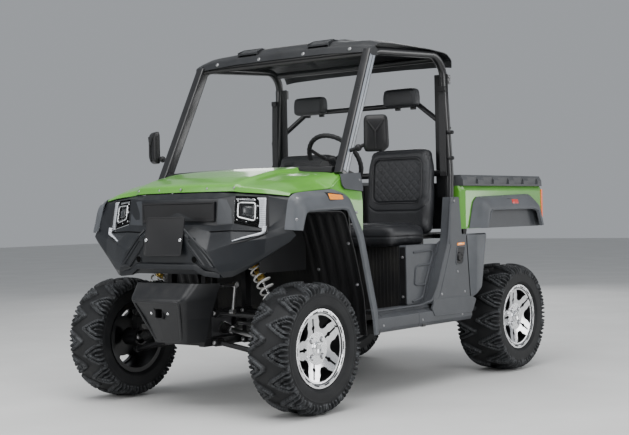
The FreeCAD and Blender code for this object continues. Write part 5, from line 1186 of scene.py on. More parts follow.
def wheel_finish(name, centre, outward, half):
    """Machined face and black paint, told apart by the place on the wheel: radius and angle about its axle
    and the depth behind the face."""
    made, shader, place = finish(name)
    depth = (place.axis("X") - centre[0]) * outward
    across, up = place.axis("Y") - centre[1], place.axis("Z") - centre[2]
    radius = (across * across + up * up).math("SQRT")
    angle = up.math("ARCTAN2", across)
    edge = half - FACE_INSET
    face_line = (radius - FACE_RADIUS).step(0.0, FACE_RADIUS) * 0.018 + (edge - FACE_DEPTH)
    front = (depth - face_line + 0.0022).step(0.0, CRISP)
    outer_ring = radius.step(OUTER_RING, OUTER_RING + 0.001)
    ring_front = (depth - (edge - 0.0035)).step(0.0, CRISP)
    bright = front * (1.0 - outer_ring) + outer_ring * ring_front
    dash = (angle * float(BOLTS)).math("COSINE").step(-0.05, 0.02) * radius.between(*DASH_BAND, SOFT)
    fold_y, fold_z = across.math("ABSOLUTE") - NUT_PLACE, up.math("ABSOLUTE") - NUT_PLACE
    nut = (fold_y * fold_y + fold_z * fold_z).math("SQRT")
    pocket = nut.between(*POCKET_BAND, SOFT) * (1.0 - radius.step(SPOKE_START, SPOKE_START + SOFT))
    painted = bright * (1.0 - dash) * (1.0 - pocket)
    marks = radius.node("ShaderNodeCombineXYZ", {}, {0: radius * 900.0, 1: angle * 6.0}).noise(1.0, 3.0)
    tone = marks.step(0.3, 0.75).blend((0.78, 0.79, 0.81, 1), (0.96, 0.96, 0.97, 1))
    drive(shader, "Base Color", painted.node("ShaderNodeMix", {"data_type": "RGBA"},
                                             {0: painted, 6: (0.008, 0.008, 0.009, 1), 7: tone}, 2))
    drive(shader, "Metallic", painted)
    drive(shader, "Roughness", painted * (-0.14) + marks * 0.1 + 0.3)
    drive(shader, "Normal", marks.bump(0.00004))
    return made


for axle, axle_y, width, middle in WHEELS:
    edge = width / 2 - FACE_INSET
    for side, sign in (("left", 1), ("right", -1)):
        centre = (sign * middle, axle_y, WHEEL_HEIGHT)
        dress(wheel_finish(f"wheel_face_{axle}_{side}", centre, float(sign), width / 2), f"rim_{axle}_{side}")
        turn = 2 * np.pi * (np.arange(BOLTS) + 0.5) / BOLTS
        spots = np.column_stack([np.full(BOLTS, centre[0] + sign * (edge - 0.0004)),
                                 centre[1] + BOLT_RING * np.cos(turn), centre[2] + BOLT_RING * np.sin(turn),
                                 np.full(BOLTS, sign), 0 * turn, 0 * turn])
        bolt_heads(f"ring_bolts_{axle}_{side}", spots, 0.0048, 0.003, chrome, f"wheel_{axle}_{side}")
        outer = sign * (middle + edge - FACE_DEPTH)
        cap_rows = [(0, 0.0), (0, 0.0255), (0.0055, 0.0255), (0.007, 0.023), (0.007, 0.021), (0.0055, 0.019),
                    (0.0055, 0.0)]
        cap = turned((outer + sign * 0.0045, axle_y, WHEEL_HEIGHT),
                     (outer + sign * 0.03, axle_y, WHEEL_HEIGHT), cap_rows, 32)
        piece(f"wheel_cap_{axle}_{side}", *cap, chrome, body=f"wheel_{axle}_{side}")
        valve_y = axle_y + VALVE_RING * math.cos(VALVE_TURN)
        valve_z = WHEEL_HEIGHT + VALVE_RING * math.sin(VALVE_TURN)
        valve = turned((outer - sign * 0.004, valve_y, valve_z), (outer + sign * 0.03, valve_y, valve_z),
                       [(0, 0.0), (0, 0.006), (0.006, 0.004), (0.022, 0.0038), (0.023, 0.005), (0.031, 0.005),
                        (0.032, 0.0)], 12)
        piece(f"valve_{axle}_{side}", *valve, boot_rubber, body=f"wheel_{axle}_{side}")


# Seats
# Two bucket seats and two headrests: foam pads under black leather, sewn with seams, piping and a quilted
# middle panel. The cushions are clipped to the seat box, the backs and headrests bolted to the cage's tubes.

def leather(name, colour):
    """Grained leather: cells of two sizes as bump, sheen that changes with a cloudy wear pattern."""
    made, shader, place = finish(name, Specular_IOR_Level=0.5, Coat_Weight=0.15, Coat_Roughness=0.35)
    wear = place.noise(5.0, 4.0)
    cells = place.node("ShaderNodeTexVoronoi", {"feature": "DISTANCE_TO_EDGE"},
                       {"Vector": place, "Scale": 420.0})
    drive(shader, "Base Color", wear.step(0.3, 0.75).blend(shade(colour, 0.8), shade(colour, 1.3)))
    drive(shader, "Roughness", wear * 0.22 + 0.28)
    drive(shader, "Normal", (cells.step(0.0, 0.25) + place.noise(60.0, 4.0) * 0.8).bump(0.00035))
    return made


def evaluated(source, name):
    """Mesh of an object with its modifiers applied, as a new object, and the first one removed."""
    graph = bpy.context.evaluated_depsgraph_get()
    mesh = bpy.data.meshes.new_from_object(source.evaluated_get(graph))
    made = bpy.data.objects.new(name, mesh)
    bpy.context.scene.collection.objects.link(made)
    bpy.data.objects.remove(source)
    return made


VOXEL, FRAMES = 0.0082, 20


def stuffed(name, vertices, faces, limit):
    """Foam pad: the start shape is remeshed, swollen as cloth under pressure with no gravity, each point's
    motion is capped, and the skin is evened out and subdivided once. Gives the pad, its points and their
    normals."""
    mesh = bpy.data.meshes.new(name)
    mesh.from_pydata(np.asarray(vertices).tolist(), [], [list(map(int, f)) for f in faces])
    pad = bpy.data.objects.new(name, mesh)
    bpy.context.scene.collection.objects.link(pad)
    voxels = pad.modifiers.new("voxels", "REMESH")
    voxels.mode = "VOXEL"
    voxels.voxel_size = VOXEL
    pad = evaluated(pad, name)
    count = len(pad.data.vertices)
    start = np.empty(count * 3)
    pad.data.vertices.foreach_get("co", start)
    swollen = start.copy()
    cloth = pad.modifiers.new("cloth", "CLOTH")
    cloth.settings.use_pressure = True
    cloth.settings.uniform_pressure_force = 4.0
    cloth.settings.tension_stiffness = 18
    cloth.settings.compression_stiffness = 18
    cloth.settings.bending_stiffness = 12
    cloth.settings.effector_weights.gravity = 0
    cloth.settings.quality = 4
    cloth.point_cache.frame_end = FRAMES
    for step in range(1, FRAMES + 1):
        bpy.context.scene.frame_set(step)
    graph = bpy.context.evaluated_depsgraph_get()
    pad.evaluated_get(graph).data.vertices.foreach_get("co", swollen)
    pad.modifiers.remove(cloth)
    bpy.context.scene.frame_set(1)
    motion = (swollen - start).reshape(-1, 3)
    distance = np.linalg.norm(motion, axis=1, keepdims=True) + 1e-9
    final = start.reshape(-1, 3) + motion * np.minimum(1, limit / distance)
    pad.data.vertices.foreach_set("co", final.ravel())
    even = pad.modifiers.new("even", "SMOOTH")
    even.factor = 0.6
    even.iterations = 9
    smooth = pad.modifiers.new("smooth", "SUBSURF")
    smooth.levels = smooth.render_levels = 1
    pad = evaluated(pad, name)
    points = np.empty(len(pad.data.vertices) * 3)
    normals = np.empty(len(pad.data.vertices) * 3)
    pad.data.vertices.foreach_get("co", points)
    pad.data.vertices.foreach_get("normal", normals)
    return pad, points.reshape(-1, 3), normals.reshape(-1, 3)


def finished_pad(pad, points, material, node):
    """Puts the sewn shape into a pad and adds its mirror image, both as padded pieces on the chassis."""
    pad.data.vertices.foreach_set("co", points.ravel())
    pad.data.polygons.foreach_set("use_smooth", np.ones(len(pad.data.polygons), bool))
    pad.data.materials.clear()
    pad.data.materials.append(material)
    other = bpy.data.objects.new(pad.name + "_right", pad.data.copy())
    pad.name = pad.name + "_left"
    bpy.context.scene.collection.objects.link(other)
    other.data.vertices.foreach_set("co", (points * (-1, 1, 1)).ravel())
    other.data.flip_normals()
    for half in (pad, other):
        half.data.update()
        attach(half, "chassis")
        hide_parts(node)


def rounded_box_distance(across, up, half_across, half_up, radius):
    """Signed distance to a rectangle with rounded corners about the origin: negative inside."""
    x = np.abs(across) - half_across + radius
    y = np.abs(up) - half_up + radius
    outside = np.hypot(np.maximum(x, 0), np.maximum(y, 0))
    return outside + np.minimum(np.maximum(x, y), 0) - radius


def groove(distance, width, depth):
    """Channel along the line where the distance is 0: depth * exp(-(distance / width)^2)."""
    return depth * np.exp(-(distance / width) ** 2)


seat_leather = leather("seat_leather", (0.018, 0.019, 0.022))
piping_leather = leather("piping_leather", (0.03, 0.031, 0.034))
thread = moulded("seat_thread", (0.06, 0.062, 0.066), 0.6, 0.0001, 0.0)

cushion_outline = [(108, -150), (590, -150), (594, 40), (588, 206), (112, 206), (104, 40)]
cushion_rings = [[(x, y, z) for x, y in inset(cushion_outline, grow)] for grow, z in
                 ((16, 804), (4, 808), (0, 824), (-2, 860), (0, 884), (8, 902), (34, 913), (90, 917))]
CUSHION_MIDDLE, SIDE_SEAM, BOX_TOP = (0.349, 0.028), 0.853, 0.8008
cushion, points, normals = stuffed("seat_cushion", *loft(cushion_rings, 0.16), 0.014)
across, along = points[:, 0] - CUSHION_MIDDLE[0], points[:, 1] - CUSHION_MIDDLE[1]
edge_distance = rounded_box_distance(across, along, 0.205, 0.145, 0.05)
upward = np.clip(normals[:, 2], 0, 1)
sewn = groove(edge_distance, 0.005, 0.0055) * upward
for seam in (-0.115, 0.115):
    sewn += groove(across - seam, 0.004, 0.003) * upward * (edge_distance < 0)
side_line = groove(points[:, 2] - SIDE_SEAM, 0.004, 0.004) * (np.abs(normals[:, 2]) < 0.7)
wave = np.sin(across * 55 + 2.2 * np.sin(along * 31))
creases = 0.0009 * wave * np.exp(-(edge_distance / 0.03) ** 2) * upward
points = points - normals * (sewn + side_line + creases)[:, None]
points[:, 2] = np.maximum(points[:, 2], BOX_TOP)
finished_pad(cushion, points, seat_leather, "seat_cushions")

# lean of the back, its foot in millimetres, and the middle of the back and of its quilted panel in metres
LEAN = math.atan2(48, 557)
BACK_FOOT_Y, BACK_FOOT_Z, BACK_MIDDLE, PANEL_MIDDLE = 227, 835, 0.3545, 0.342


def on_back(p):
    """Points of the seat back's own frame (across, up, depth from its front) as (x, y, z), in millimetres."""
    p = np.array(p, float)
    return np.column_stack([p[:, 0], BACK_FOOT_Y + p[:, 1] * math.sin(LEAN) + p[:, 2] * math.cos(LEAN),
                            BACK_FOOT_Z + p[:, 1] * math.cos(LEAN) - p[:, 2] * math.sin(LEAN)])


back_outline = [(128, 12), (582, 12), (600, 190), (592, 420), (560, 546), (150, 546), (118, 420), (110, 190)]
back_rings = [on_back([(x, s, depth) for x, s in inset(back_outline, grow)]) for grow, depth in
              ((90, 16), (52, 12), (30, 8), (14, 12), (4, 24), (0, 44), (3, 62), (14, 74), (40, 78))]
back, points, normals = stuffed("seat_back", *loft(back_rings, 0.2), 0.012)
up = ((points[:, 2] - BACK_FOOT_Z * 0.001) * math.cos(LEAN)
      + (points[:, 1] - BACK_FOOT_Y * 0.001) * math.sin(LEAN))
across = points[:, 0] - BACK_MIDDLE
forward = np.clip(-normals[:, 1], 0, 1)
panel_distance = rounded_box_distance(across, up - PANEL_MIDDLE, 0.170, 0.128, 0.045)
inside = np.clip(-panel_distance / 0.006, 0, 1)
lines = [np.abs(np.mod(across + s * up + BACK_MIDDLE, 0.050) - 0.025) for s in (1, -1)]
quilt = np.maximum(groove(lines[0], 0.0040, 0.0022), groove(lines[1], 0.0040, 0.0022))
sewn = (groove(panel_distance, 0.0055, 0.008) + inside * (0.003 + quilt)
        + groove(panel_distance - 0.052, 0.0045, 0.005) * (panel_distance > 0)) * forward
sewn += groove(np.abs(across) - 0.19 - 0.12 * np.clip(up - 0.47, 0, 1), 0.004, 0.004) * forward * (up > 0.475)
points = points - normals * sewn[:, None]
finished_pad(back, points, seat_leather, "seat_backs")


def around_panel(half_across, half_up, radius):
    """Closed path along a rectangle with rounded corners about the middle of the back's panel, in metres."""
    angle = full_turn(120)
    corner = np.stack([np.sign(np.cos(angle)) * (half_across - radius) + radius * np.cos(angle),
                       np.sign(np.sin(angle)) * (half_up - radius) + radius * np.sin(angle)], 1)
    step = np.hypot(*(np.roll(corner, -1, 0) - corner).T)
    length = np.concatenate([[0], np.cumsum(step)])
    even = np.linspace(0, length[-1], 161)[:-1]
    ring = np.stack([np.interp(even, length, np.append(corner[:, k], corner[0, k])) for k in (0, 1)], 1)
    ring = ring + (BACK_MIDDLE, PANEL_MIDDLE)
    return on_back(np.column_stack([ring * 1000, np.full(len(ring), 3.0)])) * 0.001


def settled(path, cloud, clearance):
    """Path moved along Y on to a cloud of points: each point takes the least Y of the cloud within 8 mm of it
    in X and Z, averaged with its neighbours' and less a clearance."""
    gap = np.abs(cloud[None] - path[:, None])
    near = (gap[..., 0] < 0.008) & (gap[..., 2] < 0.008)
    front = np.where(near, cloud[None, :, 1], 9.0).min(1)
    smooth = (np.roll(front, 1) + front + np.roll(front, -1)) / 3
    return np.column_stack([path[:, 0], smooth - clearance, path[:, 2]])


front_cloud = points[normals[:, 1] < -0.3]
piping_path = settled(around_panel(0.1735, 0.1315, 0.047), front_cloud, -0.0005)
piping = sweep(piping_path, circle(0.0036, 8), up=(0, 1, 0), closed=True)
pair("seat_piping", piping, piping_leather, crease=60)
stitch_path = settled(around_panel(0.182, 0.140, 0.054), front_cloud, 0.0004)
stitches = [sweep(stitch_path[k:k + 2] * 0.8 + stitch_path[k:k + 2].mean(0) * 0.2,
                  circle(0.0009, 5), up=(0, 1, 0))
            for k in range(0, 160, 2)]
pair("seat_stitches", joined(stitches), thread, crease=60)

head_outline = [(228, 1612), (462, 1612), (466, 1670), (458, 1726), (232, 1726), (224, 1670)]
head_rings = [[(x, y, z) for x, z in inset(head_outline, grow)] for grow, y in
              ((34, 306), (12, 304), (2, 314), (0, 340), (2, 366), (12, 376), (34, 378))]
rest, points, normals = stuffed("headrest", *loft(head_rings, 0.2), 0.010)
REST_MIDDLE = (0.345, 1.669)
edge = rounded_box_distance(points[:, 0] - REST_MIDDLE[0], points[:, 2] - REST_MIDDLE[1], 0.108, 0.050, 0.03)
points = points - normals * (groove(edge, 0.004, 0.0035) * np.abs(normals[:, 1])
                             + groove(points[:, 1] - 0.340, 0.003, 0.0025)
                             * (np.abs(normals[:, 1]) < 0.5))[:, None]
finished_pad(rest, points, seat_leather, "headrests")
rest_plates = joined([block(x - 18, x + 18, 1600, 1645, 378, 388, 0.12) for x in (290, 400)])
pair("headrest_plates", rest_plates, frame_black)


# Seat belts
# Black woven webbing that hangs from a plastic guide on each door pillar, with a steel tongue near its foot.
# It hangs straight and taut, 44 mm wide.

webbing, web_shader, web_place = finish("belt_webbing", Roughness=0.8, Sheen_Weight=0.3)
twill = ((web_place.axis("Z") + web_place.axis("X") * 0.6) * 2600.0).math("SINE")
drive(web_shader, "Base Color",
      twill.step(-0.4, 0.8).blend((0.008, 0.008, 0.009, 1), (0.024, 0.024, 0.026, 1)))
drive(web_shader, "Normal", twill.bump(0.0002))
strap_profile = soft_profile([(-0.022, -0.0011), (0.022, -0.0011), (0.022, 0.0011), (-0.022, 0.0011)],
                             0.02, 3)
strap_path = curve_through([(0.633, 0.3345, 1.700), (0.634, 0.3300, 1.560), (0.635, 0.3270, 1.380),
                            (0.635, 0.3305, 1.196)], 0.4)
pair("belt_straps", sweep(strap_path, strap_profile, up=(0, 1, 0)), webbing, "seat_belts", crease=60)
guides = joined([block(616, 654, 1688, 1718, 325, 350, 0.2), block(618, 652, 1196, 1222, 322, 344, 0.2)])
pair("belt_guides", guides, black_plastic)
tongue = loft([[(622, y, 1222), (648, y, 1222), (646, y, 1246), (624, y, 1246)] for y in (330, 334)], 0.15)
pair("belt_tongues", tongue, zinc)


# Dash and controls
# Black dash moulding with an instrument pod, rocker switches, a grab bar for the passenger, the shift lever
# with its red knob, and the steering wheel, whose rim is foam with finger grips.

dress(black_plastic, "dashboard")


def facing_back(y):
    """Places (across, up, height) on a plane at y, with the height towards the back."""
    return lambda p: np.column_stack([-p[:, 0], y + p[:, 2], p[:, 1]])


piece("gauge_bezel",
      *relief([(-428, 1202), (-254, 1202), (-254, 1264), (-428, 1264)],
              [(0, -6), (0, 2), (3, 5), (7, 5), (9, 1)], facing_back(-500), 0.12), black_plastic)
screen_outline = [(-420, 1208), (-262, 1208), (-262, 1258), (-420, 1258)]
gauge_glass = glossy("gauge_glass", (0.008, 0.01, 0.014))
piece("gauge_face", *relief(screen_outline, [(3, 0), (3, 3), (5, 3.6)], facing_back(-500), 0.1),
      gauge_glass)
switches = [relief([(-x - 12, 1150), (-x + 12, 1150), (-x + 12, 1186), (-x - 12, 1186)],
                   [(0, -6), (0, 4), (2, 6), (6, 3)], facing_back(-494), 0.12)
            for x in (190, 156, 122, 40, 6)]
piece("rocker_switches", *joined(switches), dark_plastic)
box_lid = relief([(130, 1120), (500, 1120), (500, 1192), (130, 1192)],
                 [(0, -8), (0, 2), (3, 4), (14, 4), (16, 2.5)],
                 facing_back(-492), 0.06)
piece("glove_lid", *box_lid, black_plastic, crease=30)
grab = round_bar([(-0.48, -0.492, 1.150), (-0.48, -0.440, 1.168), (-0.16, -0.440, 1.168),
                  (-0.16, -0.492, 1.150)], 0.3, 0.011)
piece("grab_bar", *grab, cage_black, crease=60)
knob_red = glossy("knob_red", (0.5, 0.012, 0.01))
knob = turned((0.104, -0.420, 1.196), (0.106, -0.394, 1.240),
              [(0.0, 0.006), (0.002, 0.013), (0.012, 0.021), (0.024, 0.0255), (0.034, 0.0245), (0.042, 0.018),
               (0.046, 0.008), (0.047, 0.0)], 24)
piece("shift_knob", *knob, knob_red, crease=60)
gaiter = turned((0.096, -0.505, 1.140), (0.104, -0.416, 1.206), pleated(0.062, 0.034, 0.013, 5, 0.0035), 20)
piece("shift_gaiter", *gaiter, boot_rubber, crease=60)

COLUMN_RISE = math.radians(35)
COLUMN = np.array([0, math.cos(COLUMN_RISE), math.sin(COLUMN_RISE)])
WHEEL_UP = np.array([0, -math.sin(COLUMN_RISE), math.cos(COLUMN_RISE)])
WHEEL_CENTRE = np.array([0.340, -0.322, 1.285])
turn = full_turn(144)
rim_line = WHEEL_CENTRE + 0.164 * (np.cos(turn)[:, None] * np.array([1, 0, 0])
                                   + np.sin(turn)[:, None] * WHEEL_UP)
grip = sweep(rim_line, circle(0.0132, 14), up=COLUMN, closed=True)
swell = 1 + 0.07 * np.cos(36 * turn) * (np.sin(turn) > -0.35)
line_points = rim_line.repeat(14, 0)
grip = (line_points + (grip[0] - line_points) * swell.repeat(14)[:, None], grip[1])
foam = moulded("grip_foam", (0.013, 0.013, 0.014), 0.6, 0.0004, 0.02)
piece("wheel_grip", *grip, foam, "steering_wheel", body="steering_wheel", crease=60)
spokes = []
for spoke_turn in (90, 210, 330):
    a = math.radians(spoke_turn - 180)
    out = np.array([1, 0, 0]) * math.cos(a) + WHEEL_UP * math.sin(a)
    spoke_line = [WHEEL_CENTRE - COLUMN * 0.022 + out * 0.020, WHEEL_CENTRE - COLUMN * 0.016 + out * 0.085,
                  WHEEL_CENTRE + out * 0.158]
    spokes.append(round_bar(spoke_line, 0.3, 0.014, 12, 0.36, up=COLUMN))
hub = turned(WHEEL_CENTRE - COLUMN * 0.042, WHEEL_CENTRE,
             [(0, 0.0), (0, 0.036), (0.006, 0.043), (0.022, 0.047), (0.030, 0.043), (0.036, 0.030),
              (0.037, 0.027), (0.0355, 0.025), (0.037, 0.0)], 32)
shaft = turned(WHEEL_CENTRE - COLUMN * 0.230, WHEEL_CENTRE,
               [(0, 0.0), (0, 0.0138), (0.19, 0.0138), (0.19, 0.0)], 20)
piece("wheel_spokes", *joined(spokes + [hub, shaft]), black_plastic, body="steering_wheel", crease=50)


# Floor and seat box
# Black floor and toe board covered by a rubber mat with small raised squares, and the black box under the
# seats with a bolted strip along each front edge.

floor_black, floor_black_shader, floor_black_place = finish("floor_black", Specular_IOR_Level=0.4)
bars_x = (floor_black_place.axis("X") * 260.0).math("SINE").step(0.2, 0.6)
bars_y = (floor_black_place.axis("Y") * 260.0).math("SINE").step(0.2, 0.6)
floor_cloud = floor_black_place.noise(8.0, 5.0)
drive(floor_black_shader, "Base Color", floor_cloud.step(0.3, 0.8).blend((0.009, 0.009, 0.010, 1),
                                                                        (0.024, 0.023, 0.021, 1)))
drive(floor_black_shader, "Roughness", floor_cloud * 0.2 + 0.5)
drive(floor_black_shader, "Normal", (bars_x * bars_y).bump(0.0012))
dress(floor_black, "floor_pan")
edge_strip = slab([(-94.5, 478), (-89, 478), (-89, 796), (-94.5, 796)], 604, 640, 0.1)
pair("seat_box_strips", edge_strip, liner_black)
strip_bolts = mirrored([(0.622, -0.0945, z) for z in (0.52, 0.74)], (0, -1, 0))
bolt_heads("strip_bolts", strip_bolts, 0.008, 0.004, bolt_steel)


# Sills and side trims
# Grey moulded sills with a foot step and a joint, grey panels beside the seat box with pressed grooves, and
# the trims at the foot of the door pillars with a round filler cap and an amber reflector.

side_grey = moulded("side_grey", (0.058, 0.062, 0.069), 0.44)
sill_outer = [(602, 352), (688, 352), (700, 374), (700, 430), (670, 445), (661, 472), (602, 472)]
sill_inner = [(602, 468), (657, 468), (666, 442), (696, 427), (696, 377), (686, 356), (602, 356)]
sill_section = sill_outer + sill_inner
sill_parts = [loft([[(x, y, z) for x, z in sill_section] for y in span], 0.06)
              for span in ((-452, -300, -58), (-55, 250, 512))]
step_bars = [round_bar([(x, -0.400, z), (x, 0.30, z)], 0.2, 0.0022, 8)
             for x, z in ((0.6675, 0.4535), (0.6695, 0.4485), (0.679, 0.4415), (0.687, 0.4375))]
pair("sill_skins", joined(sill_parts + step_bars), side_grey, "sills", crease=30)
sill_screws = mirrored([(0.7005, y, 0.39) for y in (-0.40, -0.02, 0.40)], (1, 0, 0))
bolt_heads("sill_screws", sill_screws, 0.007, 0.003, bolt_steel)

seat_side_outline = [(-92, 474), (60, 474), (226, 800), (226, 806), (-92, 806)]
side_panel = relief(seat_side_outline, [(0, -46), (0, -2), (2, 0), (8, 0)], facing_side(646), 0.04)
rising_line = [(-0.020, 0.764), (0.186, 0.772), (0.086, 0.566), (0.062, 0.506), (-0.036, 0.490)]
pocket_line = [(0.146, 0.694), (0.031, 0.689), (0.000, 0.680), (-0.014, 0.588), (0.014, 0.580),
               (0.092, 0.580)]
pressed_lines = [round_bar([(0.6475, y, z) for y, z in line], 0.22, 0.0062, 8, 0.9, up=(1, 0, 0))
                 for line in (rising_line, pocket_line)]
pair("seat_side_skins", joined([side_panel] + pressed_lines), side_grey, "seat_side_panels", crease=30)

trim_outline = [(86, 472.3), (500, 476), (611, 520), (690, 856), (412, 856), (388, 1072),
                (292, 1072), (254, 820)]
trim = relief(trim_outline, [(0, -6), (0, 0), (2, 2), (6, 2)], facing_side(700), 0.05)
trim_lip = slab([(86, 472), (91, 472), (259, 820), (297, 1072), (292, 1072), (254, 820)], 650, 700, 0.08)
pillar_step = relief([(262, 800), (300, 800), (330, 1040), (296, 1040)], [(0, -2), (0, 3), (3, 5)],
                     facing_side(700), 0.1)
scoop_skin = loft([[(702, 470, 850), (702, 690, 856), (702, 611, 520), (702, 500, 476)],
                   [(716, 552, 850), (716, 670, 852), (716, 604, 536), (716, 536, 496)],
                   [(719, 560, 846), (719, 664, 848), (719, 600, 540), (719, 542, 504)]], 0.08)
opening_line = [(0.702, 0.294, 1.070), (0.702, 0.257, 0.820), (0.702, 0.132, 0.560), (0.698, 0.086, 0.492),
                (0.672, 0.010, 0.470), (0.666, -0.445, 0.466)]
inner_line = [(0.702, 0.330, 1.070), (0.702, 0.296, 0.810), (0.702, 0.178, 0.548), (0.701, 0.150, 0.500),
              (0.700, 0.100, 0.480)]
opening_lines = [round_bar(line, 0.16, thick, 10, 0.8, up=(1, 0, 0))
                 for line, thick in ((opening_line, 0.0065), (inner_line, 0.0035))]
gap_cover = slab([(60, 474), (92, 474), (259, 822), (229, 808)], 642, 651, 0.05)
trim_foot = relief([(104, 398), (512, 392), (560, 470), (500, 492), (112, 500), (74, 446)],
                   [(0, -8), (0, 2), (2, 4), (6, 4)], facing_side(700), 0.12)
recess_outline = [(334, 678), (414, 678), (446, 786), (350, 786)]
cap_frame = relief(recess_outline, [(0, 0), (0, 4), (2.5, 6), (6, 6), (8, 2.4), (20, 2.4)],
                   facing_side(700), 0.2)
pair("door_trims", joined([trim, trim_lip, pillar_step, gap_cover, trim_foot, cap_frame] + opening_lines),
     side_grey, "rear_quarters", crease=26)
pair("scoop_skins", scoop_skin, flare_grey, crease=26)
# A deep black line along the scoop's edge: a painted shadow.
scoop_shadow_line = round_bar([(0.7015, 0.462, 0.846), (0.7015, 0.494, 0.486)], 0.1, 0.0035, 8, 0.8, up=(1, 0, 0))
pair("scoop_shadow_lines", scoop_shadow_line, black_and_painted_shade, crease=60)
filler_cap = turned((0.7015, 0.378, 0.726), (0.72, 0.378, 0.726),
                    [(0, 0.0), (0, 0.027), (0.008, 0.0265), (0.011, 0.024), (0.011, 0.019), (0.008, 0.017),
                     (0.008, 0.0)], 32)
cap_bar = slab([(358, 722), (398, 722), (398, 730), (358, 730)], 709, 714, 0.2)
recess_floor = relief(recess_outline, [(8, 2), (8, 2.9), (12, 3)], facing_side(700), 0.2)
pair("filler_caps", joined([filler_cap, cap_bar, recess_floor]), black_plastic)
# The reflectors use the amber lens that glows faintly, as the marker lamps do: on a reflector the glow is a
# painted glint.
reflector_outline = [(357, 790), (436, 792), (436, 808), (357, 806)]
pair("amber_reflectors",
     relief(reflector_outline, [(0, -2), (0, 2), (2, 3.5), (4, 4)], facing_side(702), 0.15), amber)
trim_screws = [(0.7025, 0.330, 1.050), (0.7025, 0.355, 0.640), (0.7025, 0.180, 0.520),
               (0.7025, 0.430, 0.520)]
bolt_heads("trim_screws", mirrored(trim_screws, (1, 0, 0)), 0.0075, 0.0035, bolt_steel)


# Bed
# Cargo bed: black ribbed tub, glossy green outer sides that wrap round to corner posts, dark rail caps, grey
# flares with a red marker, upright orange lamp strips, and a tailgate with pressed fields and a latch handle.

bed_rows = [[(616, 1392, z), (x - 3, 1392, z), (x, 1386, z), (x, 446 - drop, z),
             (x - 22, 412, z), (644, 412, z)]
            for z, x, drop in ((1138, 697, 12), (1110, 712, 0), (1090, 712, 0), (900, 711, 0), (886, 708, 0))]
bed_sides = moulding(bed_rows, [0, 0.12, 0.1, 0.3, 0], [0, 0.3, 0.02, 0.02, 0.2, 0])
pair("bed_side_skins", bed_sides, green_gloss, "bed_sides", body="bed", crease=30)
rail_grey = moulded("rail_grey", (0.06, 0.063, 0.068), 0.46)
dress(rail_grey, "bed_rails")
dress(liner_black, "bed_box")
floor_ribs = [round_bar([(x, 0.445, 0.8905), (x, 1.345, 0.8905)], 0.2, 0.011, 10, 0.45)
              for x in np.linspace(-0.56, 0.56, 15)]
wall_ribs = [round_bar([(x, y, 0.90), (x, y, 1.13)], 0.2, 0.010, 8, 0.4, up=(0, 1, 0))
             for x in (-0.6345, 0.6345) for y in np.linspace(0.52, 1.28, 7)]
front_ribs = [round_bar([(x, 0.4295, 0.90), (x, 0.4295, 1.15)], 0.2, 0.010, 8, 0.4, up=(1, 0, 0))
              for x in np.linspace(-0.5, 0.5, 7)]
piece("bed_ribs", *joined(floor_ribs + wall_ribs + front_ribs), liner_black, body="bed", crease=60)
rear_rows = [
    [(714.3, 474, 888), (742, 560, 888), (764, 604, 888), (750, 610, 888)],
    [(714.3, 520, 1040), (742, 560, 1030), (764, 640, 986), (750, 646, 982)],
    [(714.3, 560, 1070), (744, 600, 1056), (764, 664, 998), (750, 668, 994)],
    [(714.3, 1200, 1086), (744, 1190, 1066), (764, 1186, 1000), (750, 1184, 996)],
    [(714.3, 1330, 1016), (742, 1300, 1010), (764, 1246, 988), (750, 1240, 984)],
    [(714.3, 1384, 892), (742, 1350, 888), (764, 1290, 888), (750, 1284, 888)],
]
rear_flare = moulding([row[::-1] for row in rear_rows], [0, 0.25, 0.1, 0.1, 0.25, 0], [0, 0.3, 0.25, 0])
pair("rear_flare_skins", rear_flare, flare_grey, "rear_flares", body="bed", crease=28)
rear_wall = slab([(590, 885), (1352, 885), (1296, 1006), (650, 1012)], 713.5, 717, 0.05)
pair("rear_arch_walls", rear_wall, side_grey, body="bed")
rear_lip = round_bar([(0.7625, 0.603, 0.889), (0.7625, 0.662, 0.9965), (0.7625, 1.1865, 0.9985),
                      (0.7625, 1.2475, 0.9865), (0.7625, 1.289, 0.889)], 0.1, 0.0055, 10, up=(1, 0, 0))
pair("rear_flare_lips", rear_lip, flare_grey, body="bed", crease=60)
rear_bolts = mirrored([(0.7245, 0.600, 1.0665), (0.7245, 0.86, 1.0725), (0.7245, 1.16, 1.0785)],
                      (0.8, 0, 0.6))
bolt_heads("rear_flare_bolts", rear_bolts, 0.0075, 0.004, bolt_steel, "bed")
red_lens = lit_lens("red_lens", "Z", 1100.0, ((0.45, 0.012, 0.008, 1), (0.75, 0.03, 0.015, 1)),
                    ((0.4, 0.01, 0.0, 1), (0.8, 0.04, 0.01, 1)), 0.06)
orange_lens = lit_lens("orange_lens", "Z", 800.0, ((0.75, 0.08, 0.012, 1), (0.95, 0.17, 0.03, 1)),
                       ((0.7, 0.07, 0.01, 1), (0.95, 0.15, 0.02, 1)), 0.25)


def on_rear_flare(p):
    """Places (along, up, height) on the slope between the rear flare's crease and its lip."""
    return np.column_stack([764 - (p[:, 1] - 1000) * 0.31 + p[:, 2], p[:, 0], p[:, 1]])


